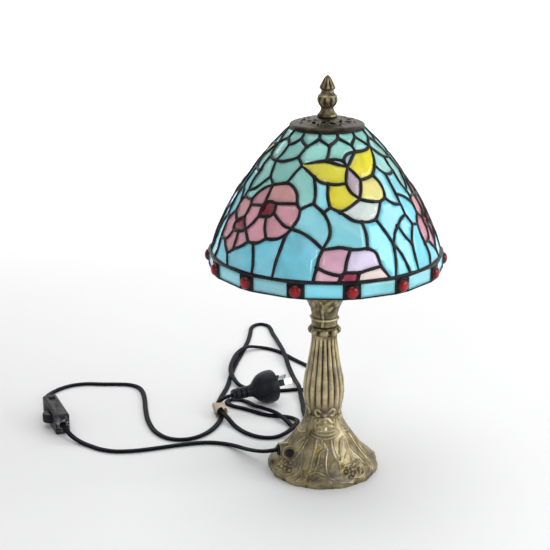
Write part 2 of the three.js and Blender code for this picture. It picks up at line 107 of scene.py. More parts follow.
class Surface:
    """A principled material built from noise nodes, and the record's slot that it stands for."""

    def __init__(self, name, slot, **sockets):
        self.slot = slot
        self.material = bpy.data.materials.new(name)
        self.material.use_nodes = True
        self.tree = self.material.node_tree
        self.shader = self.tree.nodes["Principled BSDF"]
        for key, value in sockets.items():
            self.shader.inputs[key.replace("_", " ")].default_value = value

    def node(self, kind, **values):
        made = self.tree.nodes.new(kind)
        for key, value in values.items():
            if key in made.inputs:
                made.inputs[key].default_value = value
            else:
                setattr(made, key, value)
        return made

    def link(self, source, target):
        self.tree.links.new(source, target)

    def attribute(self, name, output="Fac"):
        return self.node("ShaderNodeAttribute", attribute_name=name).outputs[output]

    def place(self, stretch=(1, 1, 1), attribute=None):
        if attribute:
            source = self.attribute(attribute, "Vector")
        else:
            source = self.node("ShaderNodeTexCoord").outputs["Object"]
        mapping = self.node("ShaderNodeMapping", Scale=stretch)
        self.link(source, mapping.inputs["Vector"])
        return mapping.outputs["Vector"]

    def noise(self, scale, detail=4, roughness=0.5, stretch=(1, 1, 1), attribute=None, distortion=0):
        made = self.node("ShaderNodeTexNoise", Scale=scale, Detail=detail, Roughness=roughness,
                         Distortion=distortion)
        self.link(self.place(stretch, attribute), made.inputs["Vector"])
        return made.outputs["Fac"]

    def ramp(self, source, *stops):
        made = self.node("ShaderNodeValToRGB")
        elements = made.color_ramp.elements
        for i, (position, color) in enumerate(stops):
            element = elements[i] if i < 2 else elements.new(position)
            element.position = position
            value = color if isinstance(color, tuple) else (color, color, color)
            element.color = (*value, 1)
        self.link(source, made.inputs["Fac"])
        return made.outputs["Color"]

    def mottle(self, grain, low, high, end=0.7):
        return self.ramp(self.noise(*grain), (0.3, low), (end, high))

    def mix(self, factor, a, b, blend="MIX"):
        made = self.node("ShaderNodeMix", data_type="RGBA", blend_type=blend)
        for socket, value in zip((made.inputs[0], made.inputs[6], made.inputs[7]), (factor, a, b)):
            if isinstance(value, bpy.types.NodeSocket):
                self.link(value, socket)
            else:
                socket.default_value = value
        return made.outputs[2]

    def bump(self, height, strength, distance):
        made = self.node("ShaderNodeBump", Strength=strength, Distance=distance)
        self.link(height, made.inputs["Height"])
        last = self.shader.inputs["Normal"].links
        if last:
            self.link(last[0].from_socket, made.inputs["Normal"])
        self.link(made.outputs["Normal"], self.shader.inputs["Normal"])

    def color(self, socket):
        self.link(socket, self.shader.inputs["Base Color"])

    def rough(self, socket):
        self.link(socket, self.shader.inputs["Roughness"])


def antique_brass(name, shade):
    """Cast metal: khaki on the crests, dark brown in the recesses and where shade is painted, with dull
    pinkish-grey patches.
    """
    s = Surface(name, "antique_brass", Metallic=0.82)
    speck = s.noise(420, 3)
    # The wear attribute holds wear and patina, and also painted shade beside raised lines and between the
    # petals.
    crest = s.ramp(s.attribute("wear_and_painted_light"), (0.0, (0.035, 0.026, 0.016)), (0.3, (0.17, 0.135, 0.08)),
                   (0.6, (0.41, 0.345, 0.195)), (1.0, (0.72, 0.63, 0.39)))
    dull = s.mix(s.ramp(s.noise(60, 5, 0.6), (0.52, 0.0), (0.66, 0.5)), crest, (0.27, 0.225, 0.21, 1))
    olive = s.ramp(s.noise(85, 4, 0.6), (0.33, (0.72, 0.68, 0.3)), (0.42, 1.0))
    toned = s.mix(1.0, dull, olive, "MULTIPLY")
    s.color(s.mix(1.0, toned, s.ramp(speck, (0.3, 0.78 * shade), (0.65, 1.05 * shade)), "MULTIPLY"))
    s.rough(s.ramp(speck, (0.25, 0.34), (0.75, 0.5)))
    s.bump(speck, 0.2, 0.00015)
    return s


def opalescent_glass():
    """Streaky sheet glass: each pane's own tint, with milky wisps that run along its own grain, and a painted
    pinkish reflection.
    """
    s = Surface("opalescent_glass", "coloured_glass", Roughness=0.2, IOR=1.5, Coat_Weight=0.35,
                Coat_Roughness=0.1, Subsurface_Weight=0.2, Subsurface_Scale=0.004)
    tint = s.attribute("tint", "Color")
    wisps = s.noise(62, 4, stretch=(1, 0.4, 1), attribute="grain", distortion=0.8)
    clouds = s.noise(42, 3, stretch=(1, 0.6, 1), attribute="grain", distortion=0.6)
    milky = s.mix(s.ramp(wisps, (0.45, 0.0), (0.85, 0.9)), tint,
                  s.mix(1.0, tint, (0.07, 0.08, 0.08, 1), "ADD"))
    deep = s.mix(s.ramp(clouds, (0.3, 0.82), (0.62, 1.06)), (0, 0, 0, 1), (1, 1, 1, 1))
    streaked = s.mix(1.0, milky, deep, "MULTIPLY")
    # Painted reflection: pale pinkish patches along each pane's grain.
    painted_sheen = s.ramp(s.noise(24, 2, attribute="grain"), (0.48, 0.0), (0.68, 0.3))
    s.color(s.mix(painted_sheen, streaked, s.mix(1.0, streaked, (0.26, 0.16, 0.22, 1), "ADD")))
    s.bump(s.noise(60, 3, attribute="grain"), 0.22, 0.0012)
    s.bump(s.noise(380, 2, attribute="grain"), 0.1, 0.0002)
    return s


def ruby_glass():
    s = Surface("ruby_glass", "ruby_glass", Roughness=0.06, IOR=1.5, Specular_IOR_Level=0.35)
    # Painted light: the cabochon is dark at its rim and glows at its middle.
    glow = s.ramp(s.attribute("wear_and_painted_light"), (0.0, (0.03, 0.0, 0.002)), (0.45, (0.16, 0.001, 0.005)),
                  (1.0, (0.46, 0.003, 0.012)))
    s.color(s.mix(s.ramp(s.noise(160, 3), (0.35, 0.0), (0.7, 0.5)), glow, (0.12, 0.001, 0.004, 1)))
    s.bump(s.noise(240, 2), 0.08, 0.0003)
    return s


def grained(name, slot, color, rough=None, bump=None, **sockets):
    """A plain finish. color and rough are (noise, low, high), and bump is (noise, strength, distance)."""
    s = Surface(name, slot, **sockets)
    s.color(s.mottle(*color))
    if rough:
        s.rough(s.mottle(*rough))
    if bump:
        s.bump(s.noise(*bump[0]), *bump[1:])
    return s


def drawn_brass(name, slot, deep, light, rough):
    return grained(name, slot, ((90, 5, 0.6), deep, light), ((300, 2), rough - 0.06, rough + 0.08),
                   ((700, 2), 0.12, 0.0001), Metallic=0.9)


def moulded(name, slot, low, high, rough, shine=0.5, grain=900):
    """Moulded plastic, rubber or porcelain."""
    return grained(name, slot, ((70, 4), low, high), ((260, 3), rough - 0.07, rough + 0.09),
                   ((grain, 2), 0.16, 0.00012), IOR=1.48, Specular_IOR_Level=shine)


def scuff(s, centre):
    """Adds grey marks round a point, fading out within a few millimetres."""
    reach = s.node("ShaderNodeVectorMath", operation="DISTANCE")
    s.link(s.place(), reach.inputs[0])
    reach.inputs[1].default_value = centre
    near = s.ramp(reach.outputs["Value"], (0.0045, 1.0), (0.009, 0.0))
    marks = s.mix(1.0, s.ramp(s.noise(430, 3, 0.6), (0.5, 0.0), (0.58, 0.8)), near, "MULTIPLY")
    base = s.shader.inputs["Base Color"].links[0].from_socket
    s.color(s.mix(marks, base, (0.36, 0.36, 0.38, 1)))


SWITCH_BLACK = ((0.014, 0.013, 0.014), (0.026, 0.024, 0.026), 0.36, 0.16)
BRASS = antique_brass("antique_brass", 1.0)
CAP_BRASS = antique_brass("dark_cap", 0.5)
HARP_BRASS = drawn_brass("harp_brass", "antique_brass", (0.16, 0.12, 0.06), (0.34, 0.27, 0.15), 0.36)
CONTACT_BRASS = drawn_brass("contact_brass", "contact_brass", (0.55, 0.40, 0.16), (0.75, 0.58, 0.28), 0.28)
STEEL = grained("plated_steel", "plated_steel", ((120, 3), (0.52, 0.51, 0.49), (0.72, 0.71, 0.69)),
                ((500, 2, 0.5, (1, 1, 8)), 0.22, 0.36),
                ((900, 2, 0.5, (1, 1, 6)), 0.08, 0.0001), Metallic=1.0)
SOLDER = grained("solder", "lead", ((140, 4), (0.007, 0.006, 0.008), (0.034, 0.031, 0.033), 0.75),
                 ((230, 3, 0.55), 0.3, 0.46), ((230, 3, 0.55), 0.5, 0.0006), Metallic=0.75)
GLASS = opalescent_glass()
RUBY = ruby_glass()
PLASTIC = moulded("black_plastic", "black_plastic", (0.010, 0.011, 0.016), (0.018, 0.019, 0.027), 0.34, 0.16)
SWITCH_PLASTIC = moulded("switch_plastic", "black_plastic", *SWITCH_BLACK)
scuff(SWITCH_PLASTIC, (-0.2447, 0.0641, 0.0105))
BLACK_STEEL = moulded("black_steel", "plated_steel", *SWITCH_BLACK)
FLEX = moulded("black_flex", "black_flex", (0.004, 0.004, 0.007), (0.008, 0.008, 0.013), 0.4, 0.05, 500)
PORCELAIN = moulded("porcelain", "porcelain", (0.70, 0.67, 0.60), (0.80, 0.78, 0.72), 0.22)
TAPE = grained("paper_tape", "paper_tape",
               ((110, 4), (0.74, 0.62, 0.46), (0.9185, 0.841, 0.7065), 0.75), None,
               ((420, 4, 0.7, (1, 3, 1), "grain"), 0.6, 0.0005), Roughness=0.82, Sheen_Weight=0.2)
FELT = grained("felt", "felt", ((500, 5, 0.7), (0.010, 0.035, 0.020), (0.03, 0.075, 0.045)), None,
               ((900, 4, 0.8), 0.6, 0.0006), Roughness=0.95, Sheen_Weight=0.5)
OPAL = grained("opal_glass", "opal_glass", ((30, 3), (0.78, 0.77, 0.73), (0.88, 0.87, 0.84)), None,
               ((300, 2), 0.04, 0.0002), Roughness=0.2, IOR=1.5, Subsurface_Weight=0.4, Subsurface_Scale=0.01)
PAPER = grained("paper_floor", None, ((3, 2), 0.81, 0.83), Roughness=0.7)


# ---- Mesh helpers ----

AXIS = 1e-6  # a radius under this is on the axis
PLAIN_WEAR = 0.5


def facing(theta):
    angle = math.radians(theta)
    return Vector((math.sin(angle), -math.cos(angle), 0))


def up(z):
    return Vector((0, 0, z))


def rotation(degrees, axis="Z"):
    return Matrix.Rotation(math.radians(degrees), 4, axis)


def axes_at(x, y, z, at):
    made = Matrix((x, y, z)).transposed().to_4x4()
    made.translation = at
    return made


def as_mesh(name, bm):
    mesh = bpy.data.meshes.new(name)
    bm.to_mesh(mesh)
    bm.free()
    return mesh


def piece(name, bm, finish, replaces="", body="stand", slot=None, crease=38, recalc=True):
    """Turns a mesh in millimetres into a piece that rides on a body and stands for CAD nodes."""
    if recalc:
        bmesh.ops.recalc_face_normals(bm, faces=bm.faces)
    limit = math.radians(crease)
    for edge in bm.edges:
        edge.smooth = len(edge.link_faces) == 2 and edge.calc_face_angle(0) < limit
    for face in bm.faces:
        face.smooth = True
    mesh = as_mesh(name, bm)
    mesh.transform(Matrix.Scale(MM, 4))
    mesh.materials.append(finish.material)
    made = add(name, mesh)
    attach(made, body)
    if replaces:
        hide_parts(*replaces.split())
    return made


def plate(bm, outer, inner, faces):
    """A plate with faces on an outer and an inner layer of points, and a wall round their free edges."""
    skins = [[bm.verts.new(p) for p in layer] for layer in (outer, inner)]
    for face in faces:
        bm.faces.new([skins[0][i] for i in face])
        bm.faces.new([skins[1][i] for i in reversed(face)])
    sides = dict.fromkeys((i, j) for face in faces for i, j in zip(face, [*face[1:], face[0]]))
    for i, j in sides:
        if (j, i) not in sides:
            bm.faces.new((skins[0][j], skins[0][i], skins[1][i], skins[1][j]))
    return skins[0] + skins[1]


def loft(bm, rings, closed=False):
    """Skins a run of vertex rings that all have the same count, and caps it where it has ends."""
    count = len(rings[0])
    pairs = list(zip(rings, rings[1:])) + ([(rings[-1], rings[0])] if closed else [])
    for a, b in pairs:
        for i in range(count):
            j = (i + 1) % count
            bm.faces.new((a[i], a[j], b[j], b[i]))
    if not closed:
        bm.faces.new(rings[0][::-1])
        bm.faces.new(rings[-1])


def sweep(bm, points, normals, section, closed=False, size=None):
    """Sweeps a section of (across, up) points along a line. It has a surface normal at each point, or one."""
    if isinstance(normals, Vector):
        normals = [normals] * len(points)
    rings = []
    last = len(points) - 1
    for i, (point, normal) in enumerate(zip(points, normals)):
        before = points[i - 1] if closed or i else points[0]
        after = points[(i + 1) % len(points)] if closed or i < last else points[last]
        tangent = (after - before).normalized()
        above = (normal - normal.dot(tangent) * tangent).normalized()
        across = tangent.cross(above)
        grow = size[i] if size else 1
        rings.append([bm.verts.new(point + across * (a * grow) + above * (b * grow)) for a, b in section])
    loft(bm, rings, closed)


def uneven(points, amount, pitch, away=Vector()):
    """Sizes for a sweep, that wander from 1 by a small amount."""
    return [1 + amount * noise.noise(p * pitch + away) for p in points]


def oval(half_width, half_height, count=12, x=0.0, y=0.0):
    angles = [math.tau * k / count for k in range(count)]
    return [(x + half_width * math.cos(a), y + half_height * math.sin(a)) for a in angles]


def squared(value, power):
    """A sine or cosine that makes a circle squarer."""
    return math.copysign(abs(value) ** power, value)


def rounded(profile, radius, steps=3):
    """The same outline of (r, z) with each sharp corner cut to a small arc."""
    made = [profile[0]]
    for before, corner, after in zip(profile, profile[1:], profile[2:]):
        b, c, a = Vector(before), Vector(corner), Vector(after)
        back, on = b - c, a - c
        if back.length < 1e-6 or on.length < 1e-6:
            continue
        cut = min(radius, back.length * 0.45, on.length * 0.45)
        if math.pi - back.angle(on) < 0.35:
            made.append(corner)
            continue
        start, end = c + back.normalized() * cut, c + on.normalized() * cut
        for k in range(steps + 1):
            t = k / steps
            made.append(tuple(start * (1 - t) ** 2 + c * (2 * t * (1 - t)) + end * t ** 2))
    return made + [profile[-1]]


def rounded_ring(corners, radius):
    """A closed outline with each corner cut to a small arc."""
    made = []
    for run in zip([corners[-1], *corners], corners, [*corners[1:], corners[0]]):
        made += rounded(run, radius)[1:-1]
    return made


def lathe(bm, profile, sides, out=0.0, wear=PLAIN_WEAR):
    """Turns a profile of (r, z) about Z. It closes on the axis, or on itself where it ends off it.

    out moves each vertex outwards, and wear, which also carries painted shade and light, is from 0 to 1: each
    is one number, or a row for each point."""
    layer = bm.verts.layers.float.get("wear_and_painted_light") or bm.verts.layers.float.new("wear_and_painted_light")
    out, wear = (np.broadcast_to(field, (len(profile), sides)).tolist() for field in (out, wear))
    rings = []
    for i, (r, z) in enumerate(profile):
        ring = []
        for k in range(sides if r > AXIS else 1):
            vert = bm.verts.new(facing(360 * k / sides) * (r + out[i][k]) + up(z))
            vert[layer] = wear[i][k] if r > AXIS else PLAIN_WEAR
            ring.append(vert)
        rings.append(ring)
    pairs = list(zip(rings, rings[1:]))
    if len(rings[0]) > 1 and len(rings[-1]) > 1:
        pairs.append((rings[-1], rings[0]))
    for a, b in pairs:
        for k in range(sides):
            j = (k + 1) % sides
            unique = list(dict.fromkeys([a[k % len(a)], a[j % len(a)], b[j % len(b)], b[k % len(b)]]))
            if len(unique) > 2:
                bm.faces.new(unique)
    return rings


def turned_into(bm, profile, sides, place, **more):
    """A turned shape set into a mesh with its own zero and axis."""
    for ring in lathe(bm, profile, sides, **more):
        for vert in ring:
            vert.co = place @ vert.co


def turned(name, profile, finish, replaces="", radius=0.25, sides=56, place=Matrix.Identity(4), **more):
    bm = bmesh.new()
    turned_into(bm, rounded(profile, radius), sides, place)
    return piece(name, bm, finish, replaces, **more)


def spline(points, step):
    """A centripetal Catmull-Rom line through points, as even samples about a step apart."""
    pts = [Vector(p) for p in points]
    pts = [2 * pts[0] - pts[1], *pts, 2 * pts[-1] - pts[-2]]
    fine = []
    for p0, p1, p2, p3 in zip(pts, pts[1:], pts[2:], pts[3:]):
        d0, d1, d2 = [max((b - a).length ** 0.5, 1e-4) for a, b in ((p0, p1), (p1, p2), (p2, p3))]
        m1 = ((p1 - p0) / d0 - (p2 - p0) / (d0 + d1) + (p2 - p1) / d1) * d1
        m2 = ((p2 - p1) / d1 - (p3 - p1) / (d1 + d2) + (p3 - p2) / d2) * d1
        for k in range(16):
            t = k / 16
            fine.append(p1 * (2 * t ** 3 - 3 * t ** 2 + 1) + m1 * (t ** 3 - 2 * t ** 2 + t)
                        + p2 * (3 * t ** 2 - 2 * t ** 3) + m2 * (t ** 3 - t ** 2))
    fine.append(pts[-2])
    lengths = np.cumsum([0] + [(b - a).length for a, b in zip(fine, fine[1:])])
    count = max(2, round(lengths[-1] / step) + 1)
    table = np.array([tuple(p) for p in fine])
    at = np.linspace(0, lengths[-1], count)
    return [Vector([float(np.interp(d, lengths, column)) for column in table.T]) for d in at]


def smooth(points, step):
    """The same kind of line through points of a plane, as (x, y)."""
    return [(p.x, p.y) for p in spline([(x, y, 0) for x, y in points], step)]


def bevelled_box(bm, x, y, z, bevel):
    """A box between low and high on each axis, with its edges rounded."""
    ends = (x, y, z)
    made = bmesh.ops.create_cube(bm, size=1)["verts"]
    for vert in made:
        vert.co = Vector(at * (high - low) + (low + high) / 2 for at, (low, high) in zip(vert.co, ends))
    edges = list({edge for vert in made for edge in vert.link_edges})
    bmesh.ops.bevel(bm, geom=edges, offset=bevel, segments=3, profile=0.5, affect="EDGES")


def pierce(made, shapes, low, high):
    """Cuts straight holes through a piece. Each shape is a ring of (x, y)."""
    bm = bmesh.new()
    for shape in shapes:
        loft(bm, [[bm.verts.new((x * MM, y * MM, z * MM)) for x, y in shape] for z in (low, high)])
    bmesh.ops.recalc_face_normals(bm, faces=bm.faces)
    cutter = add("cutter", as_mesh("cutter", bm))
    modifier = made.modifiers.new("holes", "BOOLEAN")
    modifier.object = cutter
    modifier.operation = "DIFFERENCE"
    modifier.solver = "EXACT"
    done = bpy.data.meshes.new_from_object(made.evaluated_get(bpy.context.evaluated_depsgraph_get()))
    made.modifiers.clear()
    made.data = done
    bpy.data.objects.remove(cutter)


FLOOR_HALF, SWEEP_Y = 5, 3.6  # metres


def make_floor():
    """A paper sweep: flat under the lamp, curving up far behind it."""
    bm = bmesh.new()
    line = [(-FLOOR_HALF, 0.0), (SWEEP_Y, 0.0)]
    line += [(SWEEP_Y + math.sin(a), 1 - math.cos(a)) for a in np.linspace(0.1, math.pi / 2, 12)]
    line.append((SWEEP_Y + 1, 2.6))
    rows = [[bm.verts.new((x, y, z)) for x in (-FLOOR_HALF, FLOOR_HALF)] for y, z in line]
    for a, b in zip(rows, rows[1:]):
        bm.faces.new((a[0], a[1], b[1], b[0])).smooth = True
    floor = add("floor", as_mesh("floor", bm))
    floor.data.materials.append(PAPER.material)


make_floor()


# ---- Flex ----

CORD_Z = 1.7
CORD_OVER_Z = 5.3
CORD_LOBE_X, CORD_LOBE_Z = 2.45, 1.4  # half sizes of its section
CORD_SQUARE = 0.72

LAMP_LEAD = [
    (-41.3, -4.95, 17), (-46, -6, 16.6), (-52, -5, 15.4), (-58.5, 0.5, 13), (-64.5, 9, 9.8), (-71, 20, 6),
    (-79, 31, 3.2), (-90, 39.3), (-105, 42), (-120, 40), (-136, 35.5), (-154, 29.5), (-172, 24.5),
    (-190, 23.2), (-204, 27.5), (-216, 35.5), (-226, 42.5, 2.6), (-234.5, 49, 5.4), (-240.4, 56, 8.4),
    (-243.4, 61, 9.8), (-245.4, 65.4, 10),
]
SUPPLY_LEAD = [
    (-265, 110.3, 10), (-267, 115, 10), (-271, 126, 8.6), (-274.2, 140, 5), (-273, 156, 2.2), (-265.5, 170),
    (-254, 179.5), (-240, 183.5), (-224, 182.6), (-208, 182.5), (-195, 181), (-185, 174), (-179.5, 162),
    (-175.5, 144), (-171.5, 116), (-165.5, 87), (-156, 64), (-143.5, 51), (-130, 48.2), (-117.5, 53),
    (-107.5, 63.5), (-101, 76), (-97, 89, 1.9), (-95.3, 100, 2.6), (-97.5, 109, 2.7), (-99.7, 118, 2.6),
    (-100.6, 128, 2), (-98.4, 145), (-92.8, 175), (-90, 205), (-86.5, 235), (-79.5, 275), (-73.8, 312),
    (-71.8, 338), (-71, 352), (-67.3, 362.3), (-59.8, 367.2), (-52.3, 362.3), (-48.3, 351), (-46.3, 338),
    (-42, 318, 2), (-37.8, 292, 4.2), (-34.2, 270.5, CORD_OVER_Z), (-31, 250, 4.4), (-28, 230, 2.2),
    (-24, 205), (-21, 186, 3.2), (-18.4, 168, CORD_OVER_Z), (-16.6, 150, 3), (-15, 130), (-14.3, 112),
    (-12, 98, 2.2), (-5, 88.5, 4), (6, 85, CORD_OVER_Z), (15.5, 90, 4.2), (19.8, 104, 2), (19, 130),
    (17.5, 158), (14, 188), (6, 214), (-7, 233), (-21, 251.5), (-34, 270.5), (-46, 283), (-60, 288, 2.4),
    (-74, 283, 4.9), (-83.5, 266, CORD_OVER_Z), (-89, 240, CORD_OVER_Z), (-90.5, 214, CORD_OVER_Z),
    (-87, 192, 5.2), (-79.5, 177, 2.6), (-66, 168.5), (-50, 165), (-34, 166), (-19, 168.5), (-6, 165.5),
    (3, 155), (5.5, 141), (5, 122), (7, 102), (8, 86), (3, 73), (-8, 66.5), (-18.5, 69), (-26, 78),
    (-33.5, 90, 3.6), (-42.5, 102, CORD_OVER_Z), (-54, 114.5, 4.2), (-64, 126.5, 2.2), (-72, 137.5),
    (-80.5, 142.5), (-88.5, 141.5), (-91.6, 134.8), (-86.5, 127.5), (-76, 121), (-65, 113.5),
    (-54.5, 106), (-43, 102.2), (-31, 100), (-22.5, 91.5, 2.6), (-21.6, 80, 4.9), (-24.8, 70, CORD_OVER_Z),
    (-31.5, 60, 3.6), (-43, 53.4), (-56, 53.5), (-69, 61.5), (-81, 77.5), (-89.3, 90.5, 5), (-94.2, 100, 6.2),
    (-96.9, 109, 6.3), (-98.8, 115.4, 7.7), (-97.3, 119.3, 10.4), (-92.3, 120.1, 13.5),
    (-85.9, 123.05, 14.57),
]


def flex(name, points, node):
    """Flat twin flex: two round lobes with a shallow groove between them, lying level on its route."""
    route = spline([(*p, CORD_Z)[:3] for p in points], 3)
    section = []
    for x, y in oval(1, 1, 20):
        across = squared(x, CORD_SQUARE) * CORD_LOBE_X
        groove = 0.28 * math.exp(-(across / 0.5) ** 2)
        section.append((across, math.copysign(max(abs(y) ** CORD_SQUARE * CORD_LOBE_Z - groove, 0), y)))
    bm = bmesh.new()
    sweep(bm, route, up(1), section)
    made = piece(name, bm, FLEX, node)
    length = sum((b - a).length for a, b in zip(route, route[1:]))
    return made, [tuple(p * MM) for p in route], length * MM


lamp_flex, lamp_path, lamp_length = flex("flex_to_switch", LAMP_LEAD, "lamp_lead")
supply_flex, supply_path, supply_length = flex("flex_to_plug", SUPPLY_LEAD, "supply_lead")


# ---- Leaded dome ----

DOME = [(98.0, 203.4), (94.8, 214), (87, 232.5), (77.6, 250.7), (65.8, 268), (50.7, 288), (39.5, 300),
        (31, 308.8)]
DOME_R, DOME_Z = np.array(smooth(DOME, 0.5)).T
DOME_SLOPE = np.gradient(DOME_R, DOME_Z)
GLASS_DEPTH = 0.9  # how far the glass lies under the crown of its solder
GLASS_THICK = 2.1
FLATNESS = 0.65  # each pane is cut from flat sheet, so it is flatter than the dome
UNROLL = 70  # radius at which the pattern is unrolled while its lines are drawn
RISE = 1.22  # length up the dome's slope for each unit of height
FILL_STEP, FILL_EDGE = 4.5, 2  # between the points inside a pane, and from them to its edge
SEAM_DEPTH = 1.65  # middle of a seam under the dome's surface
SEAM_SECTION = oval(1.5, 1.95)

# The pattern of one of the three panels, as (theta, z) where the seams meet. A + after a name means
# the same point in the next panel round.
PATTERN_POINTS = dict(
    t0=(-60, 308.8), t1=(-37.5, 308.8), t2=(-12.5, 308.8), t3=(13, 308.8), t4=(39.5, 308.8),
    p0=(-61, 302.8), p1=(-38, 304), p2=(-12.5, 304.6), p3=(13, 305), p4=(39, 305.3), a0=(-73.5, 297.3),
    a1=(-51.5, 298.4), a2=(-26, 299), a3=(0.6, 300), a4=(27.5, 299.5), c0=(-54.5, 286.3), c1=(-30.8, 291.3),
    c2=(-24.2, 286), c3=(-2.5, 290.2), c4=(13.3, 289.8), c5=(29, 295.4), c7=(44, 284.2), c8=(-50.8, 275),
    c9=(-44.3, 270), c10=(-32.5, 273.3), c11=(-12.2, 278.7), c12=(-1.2, 274), c13=(0, 257.7), c14=(37, 278),
    c16=(6.3, 254.7), c17=(39.3, 261.3), c18=(34.2, 259.3), c19=(27.6, 247.4), w0=(16, 285.3),
    w2=(12.2, 274.3), w3=(20, 262.9), w4=(24.6, 275.8), e0=(-67.5, 287.8), e1=(-68.3, 277), e2=(-66.8, 261),
    e3=(-66.8, 256.5), y0=(-68.5, 252.3), f0=(-57.2, 256.6), f1=(-55.6, 252.8), g1=(-21.3, 259.6),
    g2=(-21.6, 241.6), g3=(-24.3, 236.8), h0=(-44.2, 257.3), h1=(-35.6, 257.7), h2=(-35, 251),
    h3=(-39.3, 247.6), h4=(-44.9, 246.8), h5=(-45.2, 254.6), k0=(-46.8, 226.8), k1=(-35.6, 232.2),
    k2=(-42.8, 226.7), n0=(-51.4, 235), n1=(-56.4, 243.2), q0=(-62.6, 238.3), q3=(-56.6, 232),
    q4=(-62, 231), l0=(-68.4, 244.4), l1=(-67.2, 221.8), l2=(-73.8, 237), l3=(-72.8, 221.3),
    j1=(-59.8, 213), j2=(-56.2, 218), m0=(-18.2, 255.8), m3=(-10.4, 260.3), m4=(-3.8, 254.3),
    s0=(-3.9, 228.2), s2=(-6.4, 214.9), n5=(18.5, 246.7), n6=(19.3, 228), n7=(10.2, 227.9), u0=(5, 208.7),
    u1=(6.9, 211.3), u2=(13.8, 210.4), v0=(25.2, 213.8), x0=(35, 228.5), x2=(50.3, 254.4), x3=(50.5, 246.7),
    x4=(41.3, 240), x5=(48, 225.3), x6=(53.8, 238.2), x7=(51, 277), x8=(50.8, 262), b0=(-73.7, 203.7),
    b1=(-57, 203.7), b2=(-39.5, 203.7), b3=(-27.8, 203.7), b4=(-8, 203.7), b5=(3.6, 203.7),
    b6=(12.6, 203.7), b7=(29.3, 203.7), b8=(32.3, 203.7), b9=(42, 203.7), b10=(47.8, 203.7),
)
